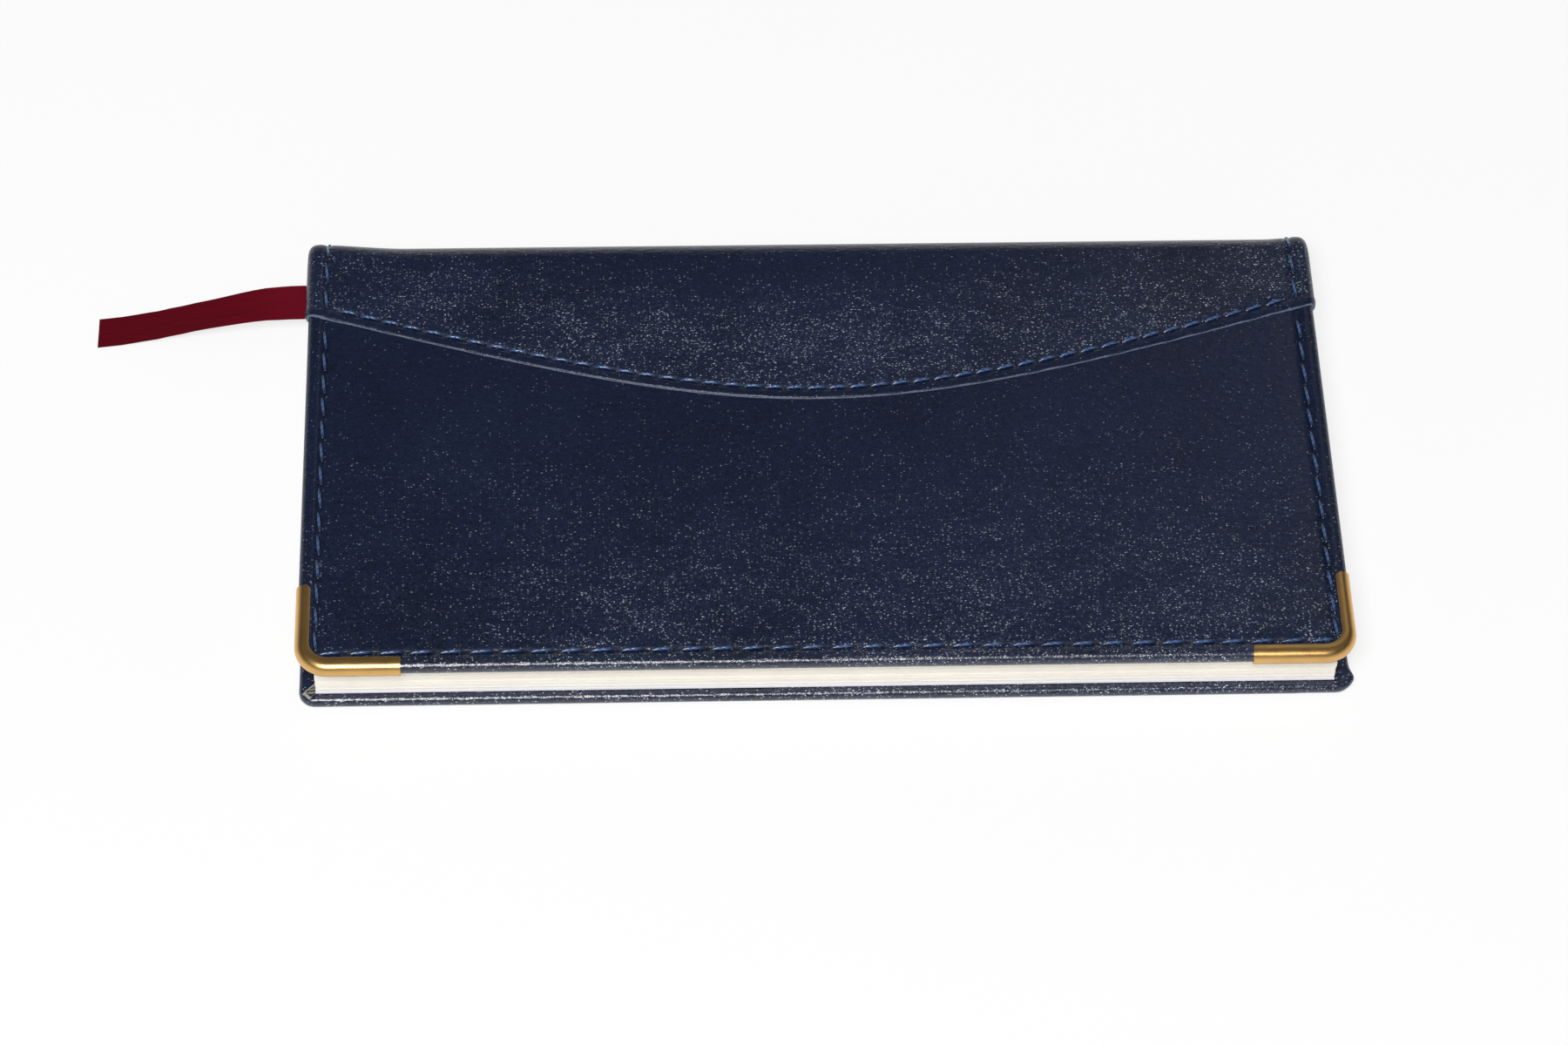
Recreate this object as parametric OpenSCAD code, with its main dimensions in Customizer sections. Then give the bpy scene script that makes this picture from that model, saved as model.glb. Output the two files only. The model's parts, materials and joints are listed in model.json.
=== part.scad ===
// Pocket planner: padded leather covers that hinge on a soft round spine, a block of folded
// sections and loose leaves, gilt corners, and a ribbon marker.
// X runs along the spine from tail to head, Y from the fore edge to the spine, Z up. The planner
// lies closed on its back cover, with the origin under the middle of its box.

/* [Planner] */
// Overall length along the spine, over the metal corners
overall_l = 165; // [140:1:200]
// Overall depth from the fore edge to the back of the spine
overall_w = 89; // [75:1:110]

/* [Covers] */
// Thickness of the cover leather
leather_t = 0.5; // [0.4:0.05:0.8]
// Thickness of the leather that is skived and turned in over the boards
turn_in_t = 0.3; // [0.2:0.05:0.5]
// Width of the turned-in leather
turn_in_w = 10; // [7:0.5:15]
// Thickness of the cover boards
board_t = 1.2; // [0.9:0.1:2]
// Thickness of the foam padding under the front leather
pad_t = 0.3; // [0.2:0.05:0.8]
// Distance of the padding from the edge of the cover
pad_margin = 4.5; // [3.5:0.5:8]
// Corner radius of the front cover, under the metal
front_corner_r = 5; // [3.5:0.5:8]
// Corner radius of the back cover
back_corner_r = 2.5; // [1.5:0.25:5]
// Width of the open mitre in the turn-ins
mitre_w = 0.7; // [0.3:0.1:1.5]
// Width of the gaping mitre at the tail corner of the back cover
open_mitre_w = 1.6; // [0.8:0.1:2.5]

/* [Yoke] */
// Thickness of the yoke leather
yoke_t = 0.5; // [0.3:0.05:0.8]
// Distance from the back of the spine to the lowest point of the yoke's edge
yoke_depth = 36; // [25:0.2:50]
// Slope that the yoke's edge takes towards its ends
yoke_slope = 0.38; // [0.1:0.02:0.45]
// Roundness of the yoke's edge at its lowest point
yoke_bend = 42; // [15:1:60]

/* [Stitching] */
// Pitch of the stitches along the edges
stitch_pitch = 4.6; // [3.5:0.1:7]
// Pitch of the stitches along the yoke
yoke_stitch_pitch = 3.4; // [2.8:0.1:5]
// Length of a stitch as a share of its pitch
stitch_share = 0.8; // [0.6:0.05:0.9]
// Width of the thread
thread_w = 0.6; // [0.4:0.05:0.9]
// Distance of the stitch line from the edge of the cover
stitch_margin = 2.9; // [2.2:0.1:5]
// Distance of the yoke's stitch line from the yoke's edge
yoke_stitch_margin = 2.2; // [1.5:0.1:4]
// Depth of the groove that the thread is drawn into
groove_depth = 0.25; // [0.15:0.05:0.35]

/* [Metal corners] */
// Thickness of the gilt sheet
metal_t = 0.3; // [0.2:0.05:0.5]
// Length of each leg, from the outer corner
metal_leg = 16.5; // [11:0.5:25]
// Depth of the outer flange on the leather, from the edge of the cover
metal_flange = 2; // [1.6:0.1:2.2]
// Air between the inner flange and the pages
metal_page_gap = 0.2; // [0.1:0.05:0.4]
// Radius that rounds the inner end of each leg
leg_end_r = 1; // [0.4:0.1:1.5]

/* [Page block] */
// Inset of the pages at head and tail
page_inset_x = 2.65; // [1.5:0.05:5]
// Inset of the pages at the fore edge
page_inset_y = 1.5; // [0.8:0.1:4]
// Distance of the block's back from the start of the spine's curve
block_reach = 2; // [1:0.1:2.5]
// Thickness of each front section
front_section_t = 0.75; // [0.5:0.05:1.2]
// Thickness of a leaf
leaf_t = 0.1; // [0.08:0.01:0.15]
// Air between loose leaves
leaf_gap = 0.02; // [0.01:0.01:0.05]
// Thickness of the pastedowns and flyleaves
endpaper_t = 0.15; // [0.1:0.01:0.25]
// Margin of the pastedowns from the edge of the cover
pastedown_margin = 3.5; // [2:0.25:6]
// Thickness of the cloth lining on the block's back
mull_t = 0.2; // [0.1:0.05:0.3]

/* [Ribbon] */
// Width of the ribbon
ribbon_w = 6; // [4:0.5:8]
// Thickness of the ribbon
ribbon_t = 0.2; // [0.15:0.05:0.3]
// Distance of the ribbon's middle from the back of the spine
ribbon_from_spine = 9.5; // [8:0.5:14]

/* [Hidden] */
$fn = 64;

LEAVES = 8;
REAR_SECTIONS = 4;
FRONT_SECTIONS = 2;

// Clearances between pieces that seat in each other
seat_gap = 0.05;
cut = 0.01;

// Colours
navy = "#1f2840";
navy_thread = "#38557f";
board_grey = "#b9b6ae";
foam_grey = "#8f9299";
gilt = "#b8923e";
cream = "#f0eade";
endpaper_white = "#e4e4ec";
cloth_white = "#ddd8cc";
crimson = "#7a0b1c";

// Thickness of the two covers, without their pastedowns
back_t = leather_t + board_t + turn_in_t;
front_t = back_t + pad_t;

// The rear half of the block balances the front half with its padding and yoke, so that both
// halves are equally high and the planner lies flat when it is open
leaves_t = LEAVES * (leaf_t + leaf_gap);
front_sections_t = FRONT_SECTIONS * front_section_t;
rear_sections_t = leaves_t + front_sections_t + pad_t + yoke_t;
rear_section_t = rear_sections_t / REAR_SECTIONS;

// Heights in the stack, from the table up
paste_z = back_t;
fly_z = paste_z + endpaper_t;
rear_z = fly_z + endpaper_t;
middle_z = rear_z + rear_sections_t;
leaf_z = middle_z + leaf_gap;
front_z = middle_z + leaves_t;
front_fly_z = front_z + front_sections_t;
front_paste_z = front_fly_z + endpaper_t;
front_in_z = front_paste_z + endpaper_t;
panel_z = front_in_z + front_t;
top_z = panel_z + yoke_t;

// Plan of the covers
metal_out = metal_t + seat_gap;
half_l = overall_l / 2 - metal_out;
fore_y = -overall_w / 2 + metal_out;
spine_y = overall_w / 2;

// The spine is half a tube, and each cover ends where its curve starts
spine_r = top_z / 2;
curve_y = spine_y - spine_r;
spine_in_r = spine_r - leather_t;
// The spine splits at 45 degrees, where it bends as it opens flat
SPLIT = 45;
split_gap = 0.3;
lining_t = 0.4;
lining_half_angle = 40;

// Plan of the block
page_half_l = half_l - page_inset_x;
metal_inner_flange = min(page_inset_x, page_inset_y) - metal_page_gap;
// Air under the front cover, so that the sections clear the inner flanges of the corners
cover_air = max(leaf_gap, metal_out - 2 * endpaper_t + leaf_gap);
// The front flyleaf is trimmed until its corners clear those flanges too
page_corner = [front_corner_r - page_inset_x, front_corner_r - page_inset_y];
corner_reach = norm(page_corner) - front_corner_r + metal_inner_flange + metal_page_gap / 2;
flyleaf_trim = max(0, corner_reach * norm(page_corner) / (page_corner[0] + page_corner[1]));
page_fore_y = fore_y + page_inset_y;
lining_y = curve_y + block_reach;
page_back_y = lining_y - mull_t;

// Boards end a little before the curve
board_end_y = curve_y - 0.6;

// Stitch lines
stitch_l = stitch_pitch * stitch_share;
yoke_stitch_l = yoke_stitch_pitch * stitch_share;
groove_w = thread_w + 0.3;
thread_t = groove_depth + 0.1;
flush_thread_t = groove_depth - seat_gap;
stitch_x = half_l - stitch_margin;
stitch_fore_y = fore_y + stitch_margin;
SPINE_STITCH_ANGLES = [-67.5, -22.5, 22.5, 67.5];
spine_stitch_angle = 45 * stitch_share;

// Ribbon, in a groove pressed into the top of the rear half
ribbon_y = spine_y - ribbon_from_spine;
ribbon_groove_w = ribbon_w + 0.6;
ribbon_groove_t = ribbon_t + 0.05;
ribbon_z = middle_z - ribbon_groove_t;
ribbon_head_gap = 3;
ribbon_mid_z = ribbon_z + ribbon_t / 2;
// Middle line of the free tail: way out from the block, shift towards the fore edge and share of
// the height at which the ribbon leaves the block
TAIL = [
    [0, 0, 1], [2, 0, 1], [4, 0, 0.99], [6, 0, 0.98], [8, 0, 0.95], [10, 0, 0.92],
    [12, 0.1, 0.87], [14, 0.2, 0.8], [16, 0.3, 0.72], [18, 0.4, 0.64], [20, 0.5, 0.56],
    [22, 0.6, 0.48], [24, 0.8, 0.4], [26, 0.9, 0.32], [28, 1.1, 0.24], [30, 1.2, 0.18],
    [32, 1.4, 0.13], [34, 1.6, 0.09], [37.8, 1.9, 0.05]
];
tail_path = [for (p = TAIL) [-page_half_l - p[0], ribbon_y - p[1], ribbon_mid_z * p[2]]];

// Forms of the covers

// Section of a cover's edge, rolled half round
module edge_profile(t, r) {
    square([r - t / 2, t]);
    translate([r - t / 2, t / 2]) circle(d = t);
}

// A cover as a flat slab with rolled edges on three sides, outer face down, grown all round
module cover_slab(t, r, grow = 0) {
    inner_x = half_l - r;
    inner_y = fore_y + r;
    grown_t = t + 2 * grow;
    translate([0, 0, -grow]) {
        translate([-inner_x, inner_y, 0]) cube([2 * inner_x, curve_y - inner_y, grown_t]);
        translate([inner_x, inner_y, 0]) rotate([0, 0, -90]) rotate([90, 0, 0])
            linear_extrude(2 * inner_x) edge_profile(grown_t, r + grow);
        for (side = [0, 1]) mirror([side, 0, 0]) {
            translate([inner_x, curve_y, 0]) rotate([90, 0, 0])
                linear_extrude(curve_y - inner_y) edge_profile(grown_t, r + grow);
            translate([inner_x, inner_y, 0])
                rotate([0, 0, -90]) rotate_extrude(angle = 90) edge_profile(grown_t, r + grow);
        }
    }
}

// Outline of a board, padding or sheet inside a cover, with its two fore corners rounded
module inset_outline(inset, r, end_y) {
    x = half_l - inset;
    y = fore_y + inset;
    corner_r = max(r - inset, 0.5);
    translate([-x, y + corner_r]) square([2 * x, end_y - y - corner_r]);
    translate([-x + corner_r, y]) square([2 * (x - corner_r), corner_r + cut]);
    for (side = [-1, 1]) translate([side * (x - corner_r), y + corner_r]) circle(corner_r);
}

// Slot at 45 degrees where two turn-ins meet, on one side of the cover
module mitre(w, side) {
    reach = turn_in_w * sqrt(2) + 1;
    start = leather_t + 0.6;
    translate([side * (half_l - start), fore_y + start])
        rotate([0, 0, side > 0 ? 135 : 45])
            translate([0, -w / 2]) square([reach - start, w]);
}

// Leather wrapped round a board and turned in on three sides, outer face down
module wrapped_leather(t, r, tail_mitre_w) {
    difference() {
        cover_slab(t, r);
        translate([0, 0, leather_t]) linear_extrude(t - turn_in_t - leather_t)
            inset_outline(leather_t, r, board_end_y);
        translate([0, 0, t - turn_in_t - cut]) linear_extrude(turn_in_t + 2 * cut) {
            inset_outline(turn_in_w, r, board_end_y);
            mitre(mitre_w, 1);
            mitre(tail_mitre_w, -1);
        }
    }
}

// Endpaper glued over the turn-ins, filled up to the board between them
module pastedown() {
    linear_extrude(endpaper_t) inset_outline(pastedown_margin, 0, board_end_y - 1);
    translate([0, 0, -turn_in_t]) linear_extrude(turn_in_t + cut)
        inset_outline(turn_in_w + seat_gap, 0, board_end_y - 1);
}

// Places a cover's form upside down as the front cover
module as_front() {
    translate([0, 0, panel_z]) mirror([0, 0, 1]) children();
}

// Part of the tube round the spine's middle, from angle a to angle b above the +Y axis
module spine_arc(a, b, r_in, r_out, half_length) {
    translate([0, curve_y, middle_z])
        rotate([90, 0, 90]) rotate([0, 0, a]) rotate_extrude(angle = b - a)
            translate([r_in, -half_length]) square([r_out - r_in, 2 * half_length]);
}

// Ring groove round the end of the spine, cut into its outer face
module spine_grooves(a, b) {
    for (side = [-1, 1]) translate([side * stitch_x, 0, 0])
        spine_arc(a, b, spine_r - groove_depth, spine_r + 1, groove_w / 2);
}

// Stitches round the ends of the spine at the given angles
module spine_stitches(angles) {
    half = spine_stitch_angle / 2;
    for (side = [-1, 1]) for (a = angles) translate([side * stitch_x, 0, 0])
        spine_arc(a - half, a + half, spine_r - groove_depth, spine_r - seat_gap, thread_w / 2);
}

// Forms of the stitching

// One stitch, lying along X with its middle at the origin
module stitch(l, t) {
    run = l - thread_w;
    linear_extrude(t) {
        square([run, thread_w], center = true);
        for (side = [-1, 1]) translate([side * run / 2, 0]) circle(d = thread_w);
    }
}

// A row of stitches along X, from the origin, filling a given length
module stitch_row(length, t) {
    count = floor(length / stitch_pitch);
    for (i = [0 : count - 1]) translate([(i + 0.5) * length / count, 0, 0]) stitch(stitch_l, t);
}

// Rows along the fore edge and both ends of a cover
module cover_stitches(end_y, t) {
    translate([-stitch_x, stitch_fore_y, 0]) stitch_row(2 * stitch_x, t);
    for (side = [-1, 1]) translate([side * stitch_x, stitch_fore_y, 0])
        rotate([0, 0, 90]) stitch_row(end_y - stitch_fore_y, t);
}

// Plan of the groove that those rows lie in
module cover_groove(end_y) {
    translate([-stitch_x - groove_w / 2, stitch_fore_y - groove_w / 2])
        square([2 * stitch_x + groove_w, groove_w]);
    for (side = [-1, 1]) translate([side * stitch_x - groove_w / 2, stitch_fore_y])
        square([groove_w, end_y - stitch_fore_y]);
}

// Forms of the yoke

// The yoke's edge hangs like a bow between the ends of the spine
yoke_low_y = spine_y - yoke_depth;
function yoke_y(x) = yoke_low_y + yoke_slope * (sqrt(x * x + yoke_bend * yoke_bend) - yoke_bend);
function yoke_angle(x) = atan(yoke_slope * x / sqrt(x * x + yoke_bend * yoke_bend));
yoke_half_l = half_l + 2 * yoke_t;
YOKE_STEPS = 48;
// Where the end stitches step up from the panel onto the yoke, and how far past its edge
yoke_side_y = yoke_y(stitch_x);
yoke_rim = 1.2;
// Point on a line that runs inside the yoke's edge
function yoke_point(x, inside) =
    [x - inside * sin(yoke_angle(x)), yoke_y(x) + inside * cos(yoke_angle(x))];
function yoke_line(half, inside) =
    [for (i = [0 : YOKE_STEPS]) yoke_point((2 * i / YOKE_STEPS - 1) * half, inside)];
function reversed(line) = [for (i = [len(line) - 1 : -1 : 0]) line[i]];

// Plan of the yoke, as far as the back of the spine
module yoke_outline() {
    polygon(concat(yoke_line(yoke_half_l, 0), [[yoke_half_l, spine_y], [-yoke_half_l, spine_y]]));
}

// The yoke's leather laid over the front panel and round its ends, as far as the turn-ins
module yoke_skin() {
    intersection() {
        as_front() difference() {
            cover_slab(front_t, front_corner_r, yoke_t);
            cover_slab(front_t, front_corner_r);
            translate([-overall_l, -overall_w, front_t - turn_in_t])
                cube([2 * overall_l, 2 * overall_w, front_t]);
        }
        translate([0, 0, front_in_z]) linear_extrude(2 * front_t) yoke_outline();
    }
}

// Plan of the groove along the yoke's stitch line
yoke_stitch_half_l = stitch_x - 1.2;
module yoke_groove() {
    polygon(concat(
        yoke_line(yoke_stitch_half_l, yoke_stitch_margin - groove_w / 2),
        reversed(yoke_line(yoke_stitch_half_l, yoke_stitch_margin + groove_w / 2))
    ));
}

// Forms of the pages

// A folded section: its back is rounded by the fold
module folded_section(t) {
    rotate([90, 0, 90]) translate([0, 0, -page_half_l]) linear_extrude(2 * page_half_l) {
        translate([page_fore_y, 0]) square([page_back_y - t / 2 - page_fore_y, t]);
        translate([page_back_y - t / 2, t / 2]) circle(d = t);
    }
}

// A leaf, trimmed at its fore edge and both ends
module sheet_of_paper(t, trim = 0) {
    x = page_half_l - trim;
    y = page_fore_y + trim;
    translate([-x, y, 0]) cube([2 * x, page_back_y - y, t]);
}

// Cloth on the back of one half of the block
module mull(z, t) {
    translate([-page_half_l, page_back_y, z]) cube([2 * page_half_l, mull_t, t]);
}

// Form of the metal corners

// Section of the gilt channel, folded round the cover's rolled edge, with a narrower flange inside
module channel_profile(r) {
    outer_t = front_t + 2 * metal_out;
    inner_t = front_t + 2 * seat_gap;
    difference() {
        translate([0, -metal_out]) intersection() {
            edge_profile(outer_t, r + metal_out);
            union() {
                translate([r - metal_flange, 0])
                    square([metal_flange + metal_out, outer_t / 2 + cut]);
                translate([r - metal_inner_flange, outer_t / 2])
                    square([metal_inner_flange + metal_out, outer_t / 2]);
            }
        }
        translate([0, -seat_gap]) edge_profile(inner_t, r + seat_gap);
    }
}

// One corner at the head end, in the cover's own place, with its legs' inner ends rounded off
module metal_corner() {
    r = front_corner_r;
    leg = metal_leg - r - metal_out;
    both_legs = [[0, 0, 0], [1, 1, 0]];
    translate([half_l - r, fore_y + r, 0]) difference() {
        union() {
            rotate([0, 0, -90]) rotate_extrude(angle = 90) channel_profile(r);
            for (turn = both_legs) mirror(turn)
                rotate([0, 0, -90]) rotate([90, 0, 0]) linear_extrude(leg) channel_profile(r);
        }
        for (turn = both_legs) mirror(turn)
            translate([-leg, metal_flange - r, -front_t]) linear_extrude(3 * front_t)
                difference() {
                    translate([-cut, -leg_end_r]) square([leg_end_r + cut, leg_end_r + cut]);
                    translate([leg_end_r, -leg_end_r]) circle(leg_end_r);
                }
    }
}

// Form of the ribbon's free tail: a flat strip swept along its path

// Direction of the path at a point, in the upright plane along X
function tail_dir(path, i) =
    let (
        a = path[max(i - 1, 0)],
        b = path[min(i + 1, len(path) - 1)],
        run = norm([b[0] - a[0], b[2] - a[2]])
    ) [(b[0] - a[0]) / run, (b[2] - a[2]) / run];
// Four corners of the strip at a point
function tail_ring(path, i) =
    let (
        d = i == 0 ? [-1, 0] : tail_dir(path, i),
        up = [-d[1], 0, d[0]] * -ribbon_t / 2,
        across = [0, ribbon_w / 2, 0]
    ) [path[i] - across - up, path[i] + across - up, path[i] + across + up, path[i] - across + up];

module tail_strip(path) {
    rings = len(path);
    points = [for (i = [0 : rings - 1]) each tail_ring(path, i)];
    sides = [for (i = [0 : rings - 2]) for (k = [0 : 3]) let (n = (k + 1) % 4)
        each [
            [4 * i + k, 4 * i + n, 4 * i + 4 + n],
            [4 * i + k, 4 * i + 4 + n, 4 * i + 4 + k]
        ]];
    last = 4 * (rings - 1);
    ends = [[0, 2, 1], [0, 3, 2], [last, last + 1, last + 2], [last, last + 2, last + 3]];
    polyhedron(points, concat(sides, ends));
}

// Back cover

module back_leather() {
    color(navy) difference() {
        union() {
            wrapped_leather(back_t, back_corner_r, open_mitre_w);
            spine_arc(-90, -SPLIT - split_gap, spine_in_r, spine_r, half_l);
        }
        translate([0, 0, -cut]) linear_extrude(groove_depth + cut) cover_groove(curve_y + cut);
        spine_grooves(-90, -SPLIT);
    }
}

module back_board() {
    color(board_grey) translate([0, 0, leather_t]) linear_extrude(board_t)
        inset_outline(leather_t, back_corner_r, board_end_y);
}

module back_pastedown() {
    color(endpaper_white) translate([0, 0, paste_z]) pastedown();
}

module back_stitching() {
    color(navy_thread) {
        translate([0, 0, seat_gap]) cover_stitches(curve_y, flush_thread_t);
        spine_stitches([SPINE_STITCH_ANGLES[0]]);
    }
}

module back_flyleaf() {
    color(endpaper_white) translate([0, 0, fly_z]) sheet_of_paper(endpaper_t);
}

module rear_section(i) {
    color(cream) translate([0, 0, rear_z + (i - 1) * rear_section_t]) folded_section(rear_section_t);
}

// The topmost rear section is pressed down along the ribbon
module ribbon_section() {
    color(cream) difference() {
        rear_section(REAR_SECTIONS);
        translate([-overall_l / 2, ribbon_y - ribbon_groove_w / 2, ribbon_z])
            cube([overall_l, ribbon_groove_w, ribbon_groove_t + cut]);
    }
}

module mull_rear() {
    color(cloth_white) mull(fly_z, middle_z - fly_z);
}

module ribbon_marker() {
    color(crimson) translate([-page_half_l, ribbon_y - ribbon_w / 2, ribbon_z])
        cube([2 * page_half_l - ribbon_head_gap, ribbon_w, ribbon_t]);
}

module ribbon_tail() {
    color(crimson) tail_strip(tail_path);
}

// Spine

module spine_leather() {
    color(navy) difference() {
        spine_arc(-SPLIT, SPLIT, spine_in_r, spine_r, half_l);
        spine_grooves(-SPLIT - 1, SPLIT + 1);
    }
}

module spine_lining() {
    color(board_grey) spine_arc(-lining_half_angle, lining_half_angle,
        spine_in_r - lining_t, spine_in_r, page_half_l);
}

module spine_stitching() {
    color(navy_thread) spine_stitches([SPINE_STITCH_ANGLES[1], SPINE_STITCH_ANGLES[2]]);
}

// Front cover

module front_leather() {
    color(navy) difference() {
        as_front() wrapped_leather(front_t, front_corner_r, mitre_w);
        as_front() translate([0, 0, leather_t]) linear_extrude(pad_t + cut)
            inset_outline(pad_margin, front_corner_r, board_end_y);
        as_front() translate([0, 0, -cut]) linear_extrude(groove_depth + cut)
            cover_groove(yoke_side_y);
    }
}

module front_padding() {
    color(foam_grey) as_front() translate([0, 0, leather_t]) linear_extrude(pad_t)
        inset_outline(pad_margin, front_corner_r, board_end_y);
}

module front_board() {
    color(board_grey) as_front() translate([0, 0, leather_t + pad_t]) linear_extrude(board_t)
        inset_outline(leather_t, front_corner_r, board_end_y);
}

module front_pastedown() {
    color(endpaper_white) as_front() translate([0, 0, front_t]) pastedown();
}

module front_stitching() {
    color(navy_thread) {
        translate([0, 0, panel_z - groove_depth])
            cover_stitches(yoke_side_y - stitch_l / 2, thread_t);
        translate([0, 0, top_z - groove_depth]) for (side = [-1, 1])
            translate([side * stitch_x, yoke_side_y + yoke_rim, 0])
                rotate([0, 0, 90]) stitch_row(curve_y - yoke_side_y - yoke_rim, thread_t);
        spine_stitches([SPINE_STITCH_ANGLES[3]]);
    }
}

module yoke_panel() {
    color(navy) difference() {
        union() {
            yoke_skin();
            spine_arc(SPLIT + split_gap, 90 + split_gap, spine_in_r, spine_r, half_l);
        }
        translate([0, 0, top_z - groove_depth]) linear_extrude(groove_depth + cut) {
            yoke_groove();
            cover_groove(curve_y + cut);
        }
        spine_grooves(SPLIT, 90);
    }
}

module yoke_stitching() {
    count = floor(2 * yoke_stitch_half_l / yoke_stitch_pitch);
    color(navy_thread) for (i = [0 : count - 1]) {
        x = (2 * (i + 0.5) / count - 1) * yoke_stitch_half_l;
        place = yoke_point(x, yoke_stitch_margin);
        translate([place[0], place[1], top_z - groove_depth])
            rotate([0, 0, yoke_angle(x)]) stitch(yoke_stitch_l, thread_t);
    }
}

module corner_head() {
    color(gilt) as_front() metal_corner();
}

module corner_tail() {
    color(gilt) as_front() mirror([1, 0, 0]) metal_corner();
}

// Front half of the page block

module front_section(i) {
    color(cream) translate([0, 0, front_z + (i - 1) * front_section_t])
        folded_section(front_section_t - (i == FRONT_SECTIONS ? cover_air : 0));
}

module front_flyleaf() {
    color(cream) translate([0, 0, front_fly_z - cover_air])
        sheet_of_paper(endpaper_t, flyleaf_trim);
}

module mull_front() {
    color(cloth_white) mull(front_z, front_paste_z - cover_air - front_z);
}

// Loose leaves between the two halves
module leaf(i) {
    color(cream) translate([0, 0, leaf_z + (i - 1) * (leaf_t + leaf_gap)]) sheet_of_paper(leaf_t);
}

back_leather();
back_board();
back_pastedown();
back_stitching();
back_flyleaf();
rear_section(1);  // section_1
rear_section(2);  // section_2
rear_section(3);  // section_3
ribbon_section();  // section_4
mull_rear();
ribbon_marker();
ribbon_tail();
spine_leather();
spine_lining();
spine_stitching();
front_leather();
front_padding();
front_board();
front_pastedown();
front_stitching();
yoke_panel();
yoke_stitching();
corner_tail();
corner_head();
front_section(1);  // section_5
front_section(2);  // section_6
front_flyleaf();
mull_front();
leaf(1);  // leaf_1
leaf(2);  // leaf_2
leaf(3);  // leaf_3
leaf(4);  // leaf_4
leaf(5);  // leaf_5
leaf(6);  // leaf_6
leaf(7);  // leaf_7
leaf(8);  // leaf_8
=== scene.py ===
"""Dresses the pocket planner: stitched leather covers, gilt corners, pages and a ribbon marker."""

import json
import math
from functools import partial

import bmesh
import bpy
import numpy as np
from bpy.props import FloatProperty, FloatVectorProperty, IntProperty, PointerProperty
from mathutils import Matrix, Vector


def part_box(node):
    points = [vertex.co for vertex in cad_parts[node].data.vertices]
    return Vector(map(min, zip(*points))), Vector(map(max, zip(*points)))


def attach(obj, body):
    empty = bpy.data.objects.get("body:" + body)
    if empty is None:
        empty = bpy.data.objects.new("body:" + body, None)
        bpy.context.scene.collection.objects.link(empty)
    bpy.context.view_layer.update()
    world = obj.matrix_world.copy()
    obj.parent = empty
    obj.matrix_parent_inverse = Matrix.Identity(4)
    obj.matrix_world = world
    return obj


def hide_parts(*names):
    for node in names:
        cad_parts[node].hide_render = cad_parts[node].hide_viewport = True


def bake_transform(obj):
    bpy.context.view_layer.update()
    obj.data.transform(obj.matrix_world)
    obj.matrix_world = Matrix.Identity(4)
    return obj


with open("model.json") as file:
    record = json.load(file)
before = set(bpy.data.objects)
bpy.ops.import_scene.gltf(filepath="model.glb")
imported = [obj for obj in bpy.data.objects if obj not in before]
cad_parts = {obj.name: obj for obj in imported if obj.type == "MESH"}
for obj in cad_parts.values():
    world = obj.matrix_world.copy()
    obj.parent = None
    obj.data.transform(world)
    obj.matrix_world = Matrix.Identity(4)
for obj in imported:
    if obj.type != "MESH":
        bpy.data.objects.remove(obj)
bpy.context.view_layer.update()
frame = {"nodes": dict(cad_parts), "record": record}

bl_info = {
    "name": "Pocket planner",
    "version": (1, 0, 0),
    "blender": (4, 5, 0),
    "location": "3D View > Sidebar > Planner",
    "description": "Builds a leather pocket planner around its CAD frame",
    "category": "Object",
}

MM = 0.001

FRONT_LOW, FRONT_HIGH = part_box("front_leather")
YOKE_LOW, YOKE_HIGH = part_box("yoke_panel")
PASTE_LOW, PASTE_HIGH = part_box("back_pastedown")
FRONT_RADIUS = (FRONT_HIGH.z - FRONT_LOW.z) / 2
SPINE_RADIUS = YOKE_HIGH.z / 2

# Camera, solved from the corners of the cover in the photo
PHOTO_WIDTH = 1800
FOCAL_PIXELS = 5743.0
SENSOR_MM = 36.0
CAMERA_TURN, CAMERA_LIFT, CAMERA_ROLL = (math.radians(a) for a in (-3.126, 51.612, 1.724))
CAMERA_TARGET = Vector((-5.778, -12.283, 5.16)) * MM
CAMERA_DISTANCE = 0.7963

# Room round the table: half the table's width, the room's tones, and each lamp's name, place, size
# and power
TABLE_HALF = 3.0
WALLS, DUSK, CEILING = (0.58, 0.58, 0.58, 1), (0.06, 0.065, 0.075, 1), (0.13, 0.13, 0.13, 1)
LAMPS = (
    ("front_softbox", (-0.25, -0.85, 1.3), 0.7, 20.5),
    ("window", (0.42, 1.12, 1.2), 0.4, 0.35),
)

# Seams and edges: length of a stitch as a share of its pitch, gap between rows that meet, depth and
# width of the dip at a needle hole, thickness of a turn-in
STITCH_SHARE = 0.8
ROW_GAP = 1.2 * MM
PUCKER, PUCKER_WIDTH = 0.14 * MM, 0.8 * MM
BEAD_PLACE, BEAD_WIDTH = 1.75 * MM, 0.5 * MM
CHANNEL_WIDTH = 0.55 * MM
TURN_IN = 0.3 * MM
MESH_STEP = 0.75 * MM
SHARP_ANGLE = math.radians(38)

# The groove for the ribbon in the top of one section
RIBBON_SECTION, RIBBON_GROOVE = 4, 0.25 * MM

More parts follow.
